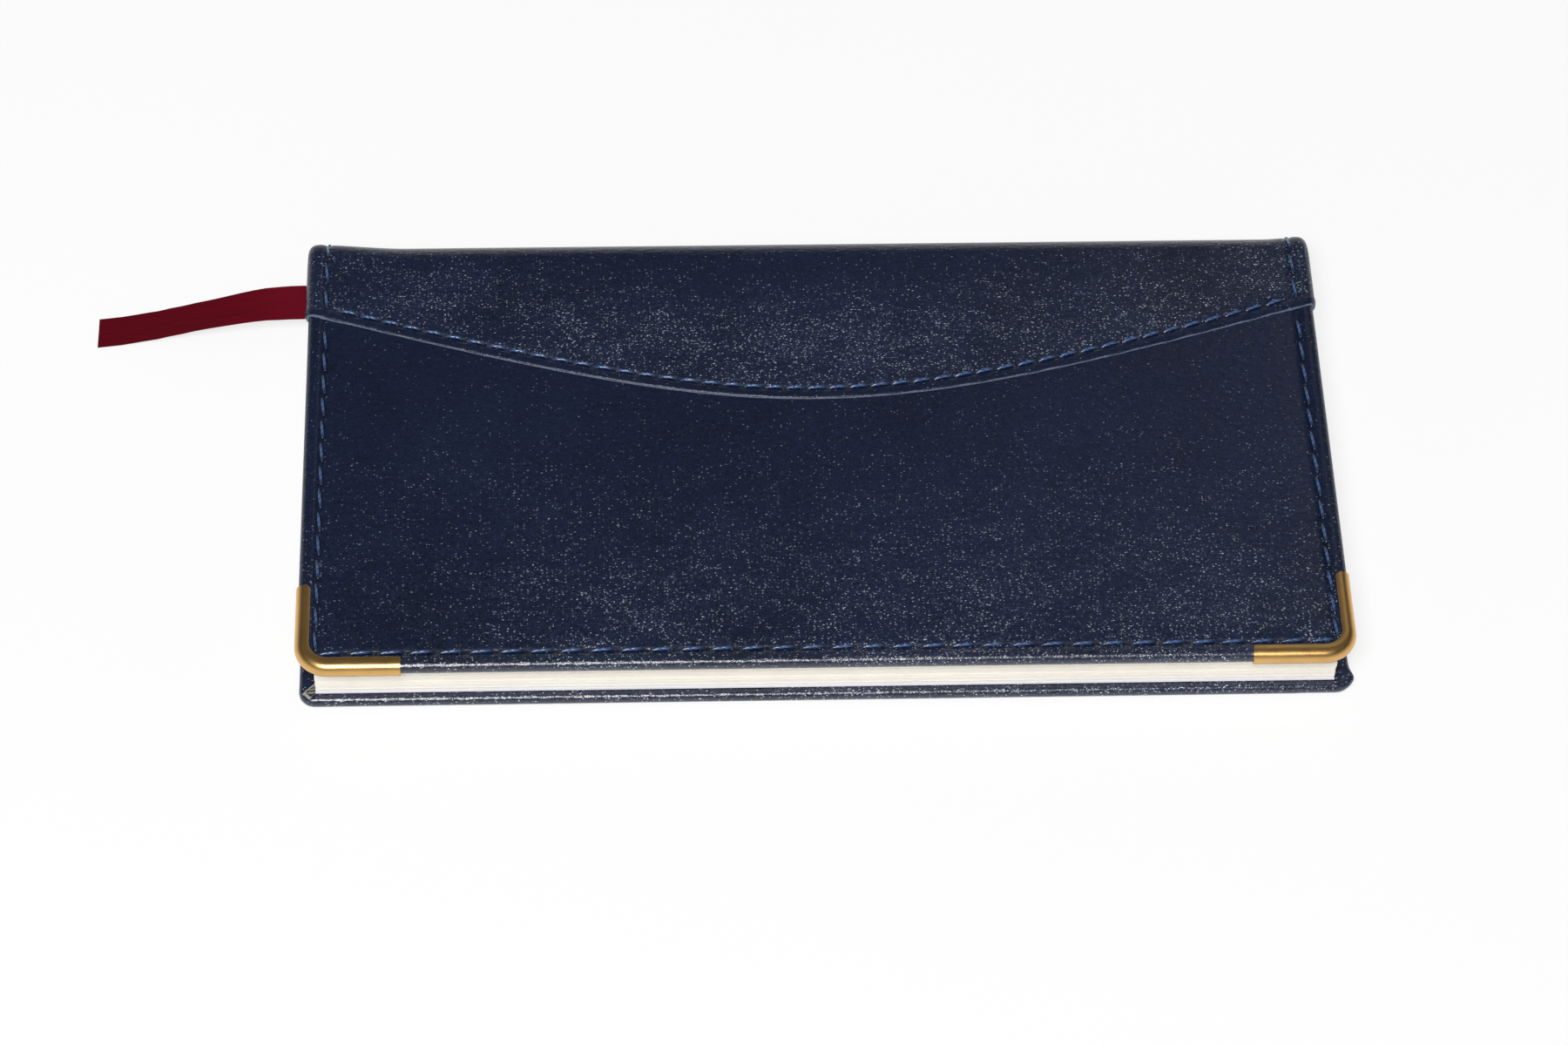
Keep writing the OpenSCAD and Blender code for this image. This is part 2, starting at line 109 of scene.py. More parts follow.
# Middle line of the ribbon's free tail: way out from the pages and shift towards the fore edge in
# millimetres, then share of the height at which the ribbon leaves the pages
TAIL = [
    (0, 0, 1), (2, 0, 1), (4, 0, 0.99), (6, 0, 0.98), (8, 0, 0.95), (10, 0, 0.92),
    (12, 0.1, 0.87), (14, 0.2, 0.8), (16, 0.3, 0.72), (18, 0.4, 0.64), (20, 0.5, 0.56),
    (22, 0.6, 0.48), (24, 0.8, 0.4), (26, 0.9, 0.32), (28, 1.1, 0.24), (30, 1.2, 0.18),
    (32, 1.4, 0.13), (34, 1.6, 0.09), (37.8, 1.9, 0.05),
]

# Materials, named for what they are and how they are made
LEATHER, CUT_EDGE = "bonded_leather_plated_grain", "bonded_leather_cut_edge"
THREAD, GILT = "polyester_thread_twisted", "gold_plated_steel_polished"
PAPER, ENDPAPER = "book_paper_uncoated", "endpaper_uncoated"
BOARD, FOAM, MULL = "grey_board_pressed", "foam_sheet_cut", "mull_cloth_sized"
SATIN, PAINT = "acetate_satin_woven", "painted_board_matt"

# Families of nodes, and the sockets of a Mix node that mixes colours
FAMILIES = ("ShaderNode", "GeometryNode", "FunctionNode", "Node")
FACTOR, FROM, TO = 0, 6, 7


def linear(hex_code):
    """Turns an sRGB hex colour into linear red, green and blue."""
    parts = [int(hex_code[i:i + 2], 16) / 255 for i in (1, 3, 5)]
    return tuple(c / 12.92 if c <= 0.04045 else ((c + 0.055) / 1.055) ** 2.4 for c in parts)


def length(name, description, default):
    """A length that the sidebar shows in the scene's units."""
    return FloatProperty(name=name, description=description, default=default, unit="LENGTH",
                         precision=5)


def colour(name, description, hex_code):
    """A colour that the sidebar shows as a swatch."""
    return FloatVectorProperty(name=name, description=description, subtype="COLOR", size=3,
                               min=0.0, max=1.0, default=linear(hex_code))


class PlannerSizes(bpy.types.PropertyGroup):
    """Sizes of the planner's dressed pieces."""

    half_length: length("Half length", "From the middle to the end of a cover", FRONT_HIGH.x)
    fore: length("Fore edge", "Place of the covers' fore edge", FRONT_LOW.y)
    joint: length("Joint", "Where the covers end and the spine's curve starts", FRONT_HIGH.y)
    front_corner: length("Front corner", "Corner radius of the front cover", 5 * MM)
    back_corner: length("Back corner", "Corner radius of the back cover", 2.5 * MM)
    leather: length("Leather", "Thickness of the spine's leather", 0.5 * MM)
    bead_rise: length("Bead rise", "Height of the soft bead along the edge", 0.07 * MM)
    pad_rise: length("Pad rise", "Height of the padded middle of the front", 0.14 * MM)
    channel: length("Channel", "Depth that the stitching draws the leather down", 0.24 * MM)
    margin: length("Stitch margin", "Stitch line from the edge of the cover", 2.9 * MM)
    pitch: length("Stitch pitch", "Pitch of the stitches along the edges", 4.6 * MM)
    thread: length("Thread", "Width of the thread", 0.48 * MM)
    yoke_low: length("Yoke low", "Lowest place of the yoke's edge", YOKE_LOW.y)
    yoke_bend: length("Yoke bend", "Roundness of the yoke's edge at its lowest", 42 * MM)
    yoke_margin: length("Yoke margin", "Stitch line from the yoke's edge", 2.2 * MM)
    yoke_pitch: length("Yoke pitch", "Pitch of the stitches along the yoke", 3.4 * MM)
    yoke_slope: FloatProperty(name="Yoke slope", description="Slope of the yoke's edge at its ends",
                              default=0.38)
    ear: length("Corner ear", "How far the gathered leather stands out at the back's head corner",
                0.6 * MM)
    tail_flare: length("Tail flare", "How far the spine stands out at its tail end", 0.8 * MM)
    head_flare: length("Head flare", "How far the spine stands out at its head end", 0.4 * MM)
    metal: length("Metal", "Thickness of the gilt sheet", 0.3 * MM)
    metal_seat: length("Metal seat", "Air between the gilt sheet and the leather", 0.05 * MM)
    metal_leg: length("Metal leg", "Length of a corner's leg", 16.5 * MM)
    metal_flange: length("Metal flange", "Depth of a corner's flange", 2 * MM)
    ribbon_width: length("Ribbon width", "Width of the ribbon", 6 * MM)
    ribbon_thickness: length("Ribbon thickness", "Thickness of the ribbon", 0.2 * MM)
    leaves: IntProperty(name="Leaves", description="Leaves that show in a section", default=6)


class PlannerColours(bpy.types.PropertyGroup):
    """Colours of the planner's materials."""

    leather_deep: colour("Leather, deep", "Leather where its dye is deepest", "#0a1122")
    leather_face: colour("Leather, face", "Leather where its dye is palest", "#182340")
    # Painted sheen: a paler blue-grey mixed into the leather where the painted glints lie.
    leather_sheen: colour("Leather, rubbed", "Leather where hands have rubbed it", "#4b566e")
    # Painted glints: pale flecks on the grain tips, standing in for the lamps' glints.
    painted_glint: colour("Grain tips", "Rubbed tips of the leather's grain", "#dbe4f0")
    cut_edge: colour("Cut edge", "Raw cut edge of the yoke", "#7d8ba1")
    # Shaded and lit copies of the thread's colour: painted shade between the plies and at the holes,
    # painted highlight on the bow.
    thread_shaded: colour("Thread, deep", "Sewing thread between its plies", "#15233f")
    thread_lit: colour("Thread, face", "Sewing thread on its plies", "#4c699c")
    gilt: colour("Gilt", "Gold plating of the corners", "#e8b974")
    paper: colour("Paper", "Pages", "#f8f3e8")
    rule: colour("Ruling", "Faint lines on the pages", "#c9cdd6")
    endpaper: colour("Endpaper", "Flyleaves and pastedowns", "#ededf4")
    board: colour("Board", "Grey board of the covers", "#d2d0c6")
    cloth: colour("Cloth", "Mull on the back of the block", "#d9d3c4")
    foam: colour("Foam", "Padding under the front leather", "#8b8e96")
    ribbon_deep: colour("Ribbon, deep", "Ribbon in its shade", "#480310")
    # Painted sheen: the brighter crimson of the ribbon near the pages, where it tilts out of them.
    ribbon_lit: colour("Ribbon, kept", "Ribbon near the pages, where its dye has kept", "#6a061e")
    ribbon_face: colour("Ribbon, face", "Ribbon on its threads", "#6e081a")
    floor: colour("Floor", "Table under the planner", "#fafafa")


# Materials


def add_node(tree, kind, inputs=(), **settings):
    """Adds a node, named without its family, with its settings. Inputs come in their order, or by
    name or number, and each takes a value, a socket or a node's first output."""
    family = next(start for start in FAMILIES if hasattr(bpy.types, start + kind))
    made = tree.nodes.new(family + kind)
    for name, value in settings.items():
        setattr(made, name, value)
    for key, value in inputs.items() if isinstance(inputs, dict) else enumerate(inputs):
        if isinstance(value, bpy.types.Node):
            value = next(socket for socket in value.outputs if socket.enabled)
        if isinstance(value, bpy.types.NodeSocket):
            tree.links.new(value, made.inputs[key])
        else:
            made.inputs[key].default_value = value
    return made


def per_mm(*sizes):
    """Scale at which one cell of a pattern is the given size in millimetres, or three of them."""
    scales = tuple(1.0 / (size * MM) for size in sizes)
    return scales if len(scales) > 1 else scales[0]


def opaque(rgb, dim=1.0):
    """A colour for a socket, made darker by a factor below 1."""
    return (*(c * dim for c in rgb), 1.0)


def material(name):
    """A material that an earlier step has made."""
    return bpy.data.materials[name]


def new_material(name):
    """Starts a node material: the function that adds its nodes, and its Object coordinates."""
    made = bpy.data.materials.new(name)
    made.use_nodes = True
    made.node_tree.nodes.clear()
    add = partial(add_node, made.node_tree)
    return add, add("TexCoord").outputs["Object"]


def end_material(add, base, height, strength, depth, surface):
    """Ends a material: its relief, its surface and its output."""
    bump = add("Bump", {"Height": height, "Strength": strength, "Distance": depth})
    shader = add("BsdfPrincipled", {"Base Color": base, "Normal": bump, **surface})
    add("OutputMaterial", (shader,))


def leather_material(colours, sizes):
    """Bonded leather, plated with a fine grain and glazed: dark, with painted glints on its grain
    tips and a paler painted sheen among them.
    """
    add, place = new_material(LEATHER)
    where = add("SeparateXYZ", (place,)).outputs
    fine = add("TexNoise", {"Vector": place, "Scale": per_mm(0.35), "Detail": 2})
    drawn = add("Mapping", {"Vector": place, "Scale": per_mm(1.8, 0.7, 1.8)})
    pores = add("TexNoise", {"Vector": drawn, "Scale": 1.0, "Detail": 3})
    broad = add("TexNoise", {"Vector": place, "Scale": per_mm(22), "Detail": 3, "Roughness": 0.55})
    tone = add("MapRange", (broad, 0.3, 0.65))
    speck = add("MapRange", (fine, 0.35, 0.65))
    mottle = add("MapRange", (pores, 0.35, 0.65))
    grain = add("Math", (speck, mottle), operation="ADD")
    cloud = add("Math", (tone, 0.35), operation="MULTIPLY")
    dye = add("Math", (grain, 0.325, cloud), operation="MULTIPLY_ADD")
    base = add("Mix", {FACTOR: dye, FROM: opaque(colours.leather_deep),
                       TO: opaque(colours.leather_face)}, data_type="RGBA")

    # Painted glints and sheen, standing in for the lamps' reflection: densest along the fore edge and
    # over the yoke's edge, fewer towards the tail.
    inward = add("MapRange", (where["Y"], FRONT_LOW.y, 8 * MM, 1.0, 0.12))
    panel = add("Math", (inward, 1.4), operation="POWER")
    bend, slope = sizes.yoke_bend, sizes.yoke_slope
    square = add("Math", (where["X"], where["X"], bend * bend), operation="MULTIPLY_ADD")
    sag = add("Math", (square,), operation="SQRT")
    edge = add("Math", (sag, slope, sizes.yoke_low - slope * bend), operation="MULTIPLY_ADD")
    above = add("Math", (where["Y"], edge), operation="SUBTRACT")
    yoke = add("MapRange", (above, 11 * MM, 27 * MM, 1.0, 0.12))
    # The lip below the yoke's stitches is drawn in, and the painted glints hardly reach it.
    lip = add("MapRange", (above, 1.6 * MM, 2.6 * MM, 0.1))
    yoke = add("Math", (yoke, lip), operation="MULTIPLY")
    over = add("Math", (above, 0.0), operation="GREATER_THAN")
    glint_zone = add("Mix", {0: over, 2: panel, 3: yoke})
    # A noise drawn out along the cover gathers the painted glints into short drifts.
    drawn = add("Mapping", {"Vector": place, "Scale": per_mm(7, 2.5, 7)})
    glint_drifts = add("TexNoise", {"Vector": drawn, "Scale": 1.0, "Detail": 2})
    for given in ((glint_drifts, 0.35, 0.6, 0.5, 1.2), (tone, 0.0, 1.0, 0.55),
                  (where["X"], -72 * MM, -35 * MM, 0.55)):
        share = add("MapRange", given)
        glint_zone = add("Math", (glint_zone, share), operation="MULTIPLY")
    # Along the rolled fore edge the painted glints run as a painted highlight, at half strength.
    bead = add("MapRange", (where["Y"], FRONT_LOW.y + 2.6 * MM, FRONT_LOW.y + 2.0 * MM))
    rim = add("Math", (bead, 0.5), operation="MULTIPLY")
    glint_zone = add("Math", (glint_zone, rim), operation="MAXIMUM")
    # Painted sheen: the paler blue-grey is mixed in where the painted glints are many.
    painted_sheen = add("Math", (glint_zone, speck), operation="MULTIPLY")
    painted_sheen = add("Math", (painted_sheen, 0.2), operation="MULTIPLY")
    base = add("Mix", {FACTOR: painted_sheen, FROM: base, TO: opaque(colours.leather_sheen)},
               data_type="RGBA")

    # Painted glints on grain tips of three sizes, drawn out along the cover.
    height = add("Math", (pores, 3.0, fine), operation="MULTIPLY_ADD")
    drawn = add("Mapping", {"Vector": place, "Scale": per_mm(1.5, 1.0, 1.0)})
    limit = add("MapRange", (glint_zone, 0.0, 1.0, 0.08))
    gleam = add("MapRange", (glint_zone, 0.0, 0.8, 0.35))
    for size, reach in ((0.8, 0.22), (0.5, 0.3), (0.33, 0.38)):
        grains = add("TexVoronoi", {"Vector": drawn, "Scale": 1 / size})
        painted_glint = add("MapRange", (grains, reach, 0.0), interpolation_type="SMOOTHSTEP")
        chance = add("SeparateXYZ", (grains.outputs["Color"],)).outputs
        glinting = add("Math", (chance["X"], limit), operation="LESS_THAN")
        bright = add("Math", (chance["Y"], 1.5), operation="POWER")
        for part in (glinting, bright, gleam):
            painted_glint = add("Math", (painted_glint, part), operation="MULTIPLY")
        base = add("Mix", {FACTOR: painted_glint, FROM: base, TO: opaque(colours.painted_glint)}, data_type="RGBA")
        height = add("Math", (painted_glint, 1.5, height), operation="MULTIPLY_ADD")
    bump = add("Bump", {"Height": height, "Strength": 0.7, "Distance": 0.05 * MM})
    gloss = add("MapRange", (fine, 0.3, 0.7, 0.26, 0.4))
    glaze = add("MapRange", (bead, 0.0, 1.0, 0.2))
    shader = add("BsdfPrincipled", {"Base Color": base, "Roughness": gloss, "Normal": bump,
                                    "IOR": 1.36, "Coat Weight": glaze, "Coat Roughness": 0.16,
                                    "Coat Normal": bump})
    add("OutputMaterial", (shader,))


def cut_edge_material(colours):
    """Leather cut through: pale, matt and a little fibrous."""
    add, place = new_material(CUT_EDGE)
    fibres = add("TexNoise", {"Vector": place, "Scale": per_mm(0.4), "Detail": 4})
    base = add("Mix", {FACTOR: fibres, FROM: opaque(colours.leather_face),
                       TO: opaque(colours.cut_edge)}, data_type="RGBA")
    end_material(add, base, fibres, 0.5, 0.05 * MM, {"Roughness": 0.7})


def thread_material(colours):
    """Polyester sewing thread, twisted in plies: a painted highlight on the bow of a stitch, painted
    shade between its plies and at its holes.
    """
    add, _ = new_material(THREAD)
    along = add("Attribute", attribute_name="lay").outputs["Vector"]
    # Plies are finer than can show, so this scale draws them about 1 mm apart.
    plies = add("TexWave", {"Vector": along, "Scale": 0.62, "Distortion": 0.4},
                wave_type="BANDS", bands_direction="DIAGONAL").outputs["Fac"]
    # Painted highlight along the middle of the bow, fading to painted shade at the holes and between
    # the plies.
    from_middle = add("Math", (add("SeparateXYZ", (along,)),), operation="ABSOLUTE")
    bow = add("MapRange", (from_middle, 1.8, 0.5), interpolation_type="SMOOTHSTEP")
    ply = add("MapRange", (plies, 0.0, 1.0, 0.45))
    pale = add("Math", (bow, ply), operation="MULTIPLY")
    base = add("Mix", {FACTOR: pale, FROM: opaque(colours.thread_shaded),
                       TO: opaque(colours.thread_lit)}, data_type="RGBA")
    end_material(add, base, plies, 0.4, 0.06 * MM,
                 {"Roughness": 0.22, "Specular IOR Level": 0.9})


def gilt_material(colours):
    """Steel sheet, pressed and gold plated: bright, with its gloss softened by fine rub marks."""
    add, place = new_material(GILT)
    rubs = add("TexNoise", {"Vector": place, "Scale": per_mm(1.5), "Detail": 3})
    haze = add("TexNoise", {"Vector": place, "Scale": per_mm(5), "Detail": 2})
    rough = add("MapRange", (rubs, 0.3, 0.75, 0.27, 0.34))
    base = add("Mix", {FACTOR: haze, FROM: opaque(colours.gilt, 0.72), TO: opaque(colours.gilt)},
               data_type="RGBA")
    end_material(add, base, haze, 0.15, 0.06 * MM, {"Metallic": 1.0, "Roughness": rough})


def paper_material(name, face, foot=None, rule=None):
    """Uncoated book paper, machine made: matt and faintly cloudy, with fine lines where ruled."""
    add, place = new_material(name)
    where = add("SeparateXYZ", (place,)).outputs
    cloud = add("TexNoise", {"Vector": place, "Scale": per_mm(4), "Detail": 4})
    # Single leaf edges are too fine to show, so their lines are drawn 0.14 mm apart.
    layers = add("Mapping", {"Vector": place, "Scale": (30, 30, per_mm(0.14))})
    edges = add("TexNoise", {"Vector": layers, "Scale": 1.0, "Detail": 1})
    shade = add("Math", (cloud, edges), operation="MULTIPLY")
    toned = add("MapRange", (shade, 0.1, 0.4))
    base = add("Mix", {FACTOR: toned, FROM: opaque(face, 0.95), TO: opaque(face)},
               data_type="RGBA")
    if rule is not None:
        # Towards the foot of the block the pages are mixed towards the endpaper's cooler white.
        depth = add("MapRange", (where["Z"], 4.2 * MM, PASTE_HIGH.z, 0.0, 0.7))
        base = add("Mix", {FACTOR: depth, FROM: base, TO: opaque(foot)}, data_type="RGBA")
        # Lines 6 mm apart, which stop short of the fore edge.
        step = add("Math", (where["X"], 6 * MM), operation="FLOORED_MODULO")
        line = add("Math", (step, 0.2 * MM), operation="LESS_THAN")
        inner = add("Math", (where["Y"], PASTE_LOW.y + 6 * MM), operation="GREATER_THAN")
        ruled = add("Math", (inner, line), operation="MULTIPLY")
        base = add("Mix", {FACTOR: ruled, FROM: base, TO: opaque(rule)}, data_type="RGBA")
    end_material(add, base, edges, 0.35, 0.06 * MM, {"Roughness": 0.85})


def fibre_material(name, face, grain, rough):
    """A dull fibrous stuff, such as pressed board, foam or book cloth, mottled at its own grain."""
    add, place = new_material(name)
    mottle = add("TexNoise", {"Vector": place, "Scale": per_mm(grain), "Detail": 5,
                              "Roughness": 0.7})
    base = add("Mix", {FACTOR: mottle, FROM: opaque(face, 0.7), TO: opaque(face)},
               data_type="RGBA")
    end_material(add, base, mottle, 0.5, 0.1 * MM, {"Roughness": rough})


def ribbon_material(colours):
    """Acetate satin ribbon, woven: dull red with fine threads along it."""
    add, place = new_material(SATIN)
    # Satin threads are 0.1 mm apart; they are drawn at 0.3 mm so that they show.
    warp = add("Mapping", {"Vector": place, "Scale": per_mm(6, 0.3, 6)})
    threads = add("TexNoise", {"Vector": warp, "Scale": 1.0, "Detail": 2})
    base = add("Mix", {FACTOR: threads, FROM: opaque(colours.ribbon_deep),
                       TO: opaque(colours.ribbon_face)}, data_type="RGBA")
    # Painted sheen: near the pages, where the ribbon tilts out of them, it is mixed towards a
    # brighter crimson; the free end stays duller.
    along = add("SeparateXYZ", (place,))
    lit_share = add("MapRange", (along, PASTE_LOW.x - 22 * MM, PASTE_LOW.x, 0.0, 0.8),
               interpolation_type="SMOOTHSTEP")
    base = add("Mix", {FACTOR: lit_share, FROM: base, TO: opaque(colours.ribbon_lit)},
               data_type="RGBA")
    end_material(add, base, threads, 0.35, 0.05 * MM,
                 {"Roughness": 0.6, "Specular IOR Level": 0.08})


def floor_material(colours):
    """Painted board, sprayed matt: pale, with hardly any tooth."""
    add, place = new_material(PAINT)
    tooth = add("TexNoise", {"Vector": place, "Scale": per_mm(2), "Detail": 2})
    bump = add("Bump", {"Height": tooth, "Strength": 0.05, "Distance": 0.05 * MM})
    paint = add("BsdfPrincipled", {"Base Color": opaque(colours.floor), "Roughness": 0.8,
                                   "Specular IOR Level": 0.2, "Normal": bump})
    # Seen straight or in a gloss, the table is white, and only a part of the shadow stays.
    path = add("LightPath").outputs
    seen = path["Is Camera Ray"]
    for ray in ("Is Glossy Ray", "Is Transmission Ray"):
        seen = add("Math", (seen, path[ray]), operation="MAXIMUM")
    share = add("Math", (seen, 0.72), operation="MULTIPLY")
    white = add("Emission", {"Strength": 1.05})
    add("OutputMaterial", (add("MixShader", (share, paint, white)),))


# Meshes


def add_object(name, data):
    """A new object of the scene."""
    made = bpy.data.objects.new(name, data)
    bpy.context.scene.collection.objects.link(made)
    return made


def make_piece(name, points, faces, finishes, which=None):
    """A closed mesh piece at the origin, its faces turned outwards and its sharp edges kept."""
    mesh = bpy.data.meshes.new(name)
    mesh.from_pydata([tuple(p) for p in points], [], faces)
    for finish in finishes:
        mesh.materials.append(material(finish))
    if which is not None:
        mesh.polygons.foreach_set("material_index", which)
    work = bmesh.new()
    work.from_mesh(mesh)
    bmesh.ops.recalc_face_normals(work, faces=work.faces)
    work.to_mesh(mesh)
    work.free()
    mesh.shade_smooth()
    mesh.set_sharp_from_angle(angle=SHARP_ANGLE)
    mesh.update()
    return add_object(name, mesh)


def join_piece(piece, extra):
    """Adds a second piece's mesh to the first and takes the second away."""
    both = bmesh.new()
    both.from_mesh(piece.data)
    both.from_mesh(extra.data)
    both.to_mesh(piece.data)
    both.free()
    bpy.data.objects.remove(extra)


def settle(piece, modifier):
    """The mesh that a modifier gives; the modifier itself is taken off."""
    depsgraph = bpy.context.evaluated_depsgraph_get()
    mesh = bpy.data.meshes.new_from_object(piece.evaluated_get(depsgraph))
    piece.modifiers.remove(modifier)
    return mesh


def dress(piece, body, node):
    """Lets a piece ride its body in place of a CAD node."""
    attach(piece, body)
    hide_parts(node)


def loft(rings):
    """Points and faces of a skin over rings of one size, closed at both ends."""
    size = len(rings[0])
    faces = [(c * size + k, (c + 1) * size + k, (c + 1) * size + n, c * size + n)
             for c in range(len(rings) - 1) for k, n in enumerate([*range(1, size), 0])]
    last = (len(rings) - 1) * size
    faces += [tuple(range(size)), tuple(range(last, last + size))]
    return [p for ring in rings for p in ring], faces


def smoothstep(value):
    """Rises softly from 0 to 1 as the value does."""
    t = np.clip(value, 0.0, 1.0)
    return t * t * (3 - 2 * t)


def hump(value, middle, width):
    """A soft bump of height 1 round the middle."""
    return np.exp(-(((value - middle) / width) ** 2))


def stitch_count(run, pitch):
    """Whole stitches that fit a run."""
    return math.floor(run / pitch + 1e-6)


def row_step(run, pitch):
    """The even step that fills a run with whole stitches."""
    return run / stitch_count(run, pitch)


def stitch_dips(along, start, step):
    """Small dips at the needle holes, halfway between the stitches."""
    return np.cos(np.pi * (along - start) / step) ** 8


def yoke_edge(s, x):
    """Place of the yoke's edge at x."""
    return s.yoke_low + s.yoke_slope * (np.sqrt(x * x + s.yoke_bend ** 2) - s.yoke_bend)


def yoke_lean(s, x):
    """Slope angle of the yoke's edge at x."""
    return np.arctan(s.yoke_slope * x / np.sqrt(x * x + s.yoke_bend ** 2))


def side_rows(s):
    """Ends of the stitch rows at the ends of the front: on the panel, then on the yoke."""
    edge = float(yoke_edge(s, s.half_length - s.margin))
    return (s.fore + s.margin, edge - s.pitch * STITCH_SHARE / 2), (edge + ROW_GAP, s.joint)


def spread(first, last, step):
    """Even places from first to last, about a step apart."""
    return np.linspace(first, last, max(2, round((last - first) / step) + 1))


def edge_lines(radius):
    """Distances from the edge at which the leather's edge, bead and channel need points."""
    fine = [v * MM for v in (1.45, 1.7, 1.95, 2.2, 2.4, 2.6, 2.75, 2.9, 3.05, 3.2, 3.4, 3.65,
                             3.95, 4.3, 4.7, 5.2, 5.8)]
    return [radius] + [v for v in fine if v > radius + 0.1 * MM]


def cross_lines(half, radius):
    """Places from one end of a cover to the other, close together at both."""
    left = [v - half for v in edge_lines(radius)]
    return left + list(spread(left[-1], -left[-1], MESH_STEP)[1:-1]) + [-v for v in reversed(left)]


def cover_skin(s, name, corner, outer, inner, height, shift=None):
    """A wrapped cover: its outer face with beads and channels, rolled edges and inner face."""
    radius = abs(outer - inner) / 2
    out_sign = 1.0 if outer > inner else -1.0
    half, fore = s.half_length, s.fore
    near = [fore + v for v in edge_lines(radius)]
    xs = np.array(cross_lines(half, radius))
    ys = np.array(near + list(spread(near[-1], s.joint, MESH_STEP)[1:]))
    nx, ny = len(xs), len(ys)
    gx, gy = np.meshgrid(xs, ys, indexing="ij")
    # Round a corner, the square lines of the grid become arcs.
    dx, dy = half - np.abs(gx), gy - fore
    u, v = corner - dx, corner - dy
    inside = (u > 0) & (v > 0)
    big, small = np.maximum(u, v), np.minimum(u, v)
    share = np.where(inside, small / np.where(big > 0, big, 1), 0) * math.pi / 4
    turn = np.where(u >= v, share, math.pi / 2 - share)
    sign = np.sign(gx)
    gx = np.where(inside, sign * (half - corner + big * np.cos(turn)), gx)
    gy = np.where(inside, fore + corner - big * np.sin(turn), gy)
    depth = np.where(inside, corner - big, np.minimum(dx, dy))
    rise = height(depth, gx, gy)
    points = list(np.stack([gx, gy, outer + out_sign * rise], -1).reshape(-1, 3))
    faces = [(i * ny + j, (i + 1) * ny + j, (i + 1) * ny + j + 1, i * ny + j + 1)
             for i in range(nx - 1) for j in range(ny - 1)]
    # The rim rolls round the edge to the inner face.
    rim = ([(0, j) for j in range(ny - 1, -1, -1)] + [(i, 0) for i in range(1, nx)]
           + [(nx - 1, j) for j in range(1, ny)])
    steps = 14
    middle = (outer + inner) / 2
    rings = [[i * ny + j for i, j in rim]]
    for k in range(1, steps + 1):
        angle = math.pi * k / steps
        swell = radius * math.sin(angle)
        ring = []
        for i, j in rim:
            if inside[i, j]:
                way = (sign[i, j] * math.cos(turn[i, j]), -math.sin(turn[i, j]))
            elif i in (0, nx - 1) and j > 0:
                way = (sign[i, j], 0.0)
            else:
                way = (0.0, -1.0)
            fade = rise[i, j] * (1 - k / steps)
            p = [gx[i, j] + way[0] * swell, gy[i, j] + way[1] * swell,
                 middle + out_sign * (radius * math.cos(angle) + fade)]
            ring.append(len(points))
            points.append(shift(p, math.sin(angle)) if shift else p)
        rings.append(ring)
    for a, b in zip(rings, rings[1:]):
        faces += [(a[m], b[m], b[m + 1], a[m + 1]) for m in range(len(a) - 1)]
    faces.append(tuple(rings[-1]))
    faces.append(tuple([i * ny + ny - 1 for i in range(nx)] + [ring[-1] for ring in rings[1:]]
                       + [ring[0] for ring in reversed(rings[1:])]))
    return make_piece(name, points, faces, (LEATHER,))


def cut_mitre(piece, s, corner_sign, width, face):
    """Cuts the slot where two turn-ins meet at a corner, down to the board below."""
    reach, start = 14 * MM, 1.1 * MM
    mesh = bpy.data.meshes.new("mitre_cutter")
    work = bmesh.new()
    bmesh.ops.create_cube(work, size=1.0)
    work.to_mesh(mesh)
    work.free()
    mesh.materials.append(material(BOARD))
    turn = math.radians(135 if corner_sign > 0 else 45)
    way = Vector((math.cos(turn), math.sin(turn), 0))
    middle = Vector((corner_sign * (s.half_length - start), s.fore + start, face)) + way * reach / 2
    mesh.transform(Matrix.Translation(middle) @ Matrix.Rotation(turn, 4, "Z")
                   @ Matrix.Diagonal((reach, width, 2 * TURN_IN, 1)))
    cutter = add_object("mitre_cutter", mesh)
    cut = piece.modifiers.new("mitre", "BOOLEAN")
    cut.operation, cut.solver, cut.object = "DIFFERENCE", "EXACT", cutter
    cut.material_mode = "TRANSFER"
    piece.data = settle(piece, cut)
    bpy.data.objects.remove(cutter)
    piece.data.set_sharp_from_angle(angle=SHARP_ANGLE)


def bend_columns(s):
    """Columns across a skin that wraps both ends of the front: plan place and wrap angle."""
    bend = s.half_length - FRONT_RADIUS
    wraps = np.radians([121, 108, 94, 80, 66, 52, 38, 25, 12])
    flat = [(x, 0.0) for x in cross_lines(s.half_length, FRONT_RADIUS)]
    return [(-bend, -a) for a in wraps] + flat + [(bend, a) for a in reversed(wraps)]


def edge_height(s, d, bare=1.0):
    """Height of a bead, where it is bare, and a stitch channel at a distance from the edge."""
    bead = s.bead_rise * hump(d, BEAD_PLACE, BEAD_WIDTH) * bare
    return bead - s.channel * hump(d, s.margin, CHANNEL_WIDTH)


def spine_halves(s):
    """Halves of the spine: name, first angle, the bodies that it joins, and where it meets them."""
    lower, ridge = (0, s.joint, 0), (0, s.joint + SPINE_RADIUS, SPINE_RADIUS)
    upper = (0, s.joint, 2 * SPINE_RADIUS)
    return (("back", -90, ("back_cover", "spine"), lower, ridge),
            ("front", 0, ("spine", "front_cover"), ridge, upper))


def spine_flare(s, x, angle):
    """How far the turned-in leather stands out at the ends of the spine, most on its upper side."""
    reach, rise = (16 * MM, s.tail_flare) if x < 0 else (7 * MM, s.head_flare)
    upper = smoothstep((90 - angle) / 45) * smoothstep((angle + 60) / 60)
    return float(rise * upper * smoothstep((abs(x) - s.half_length + reach) / reach))


# Stitches and pages by Geometry Nodes


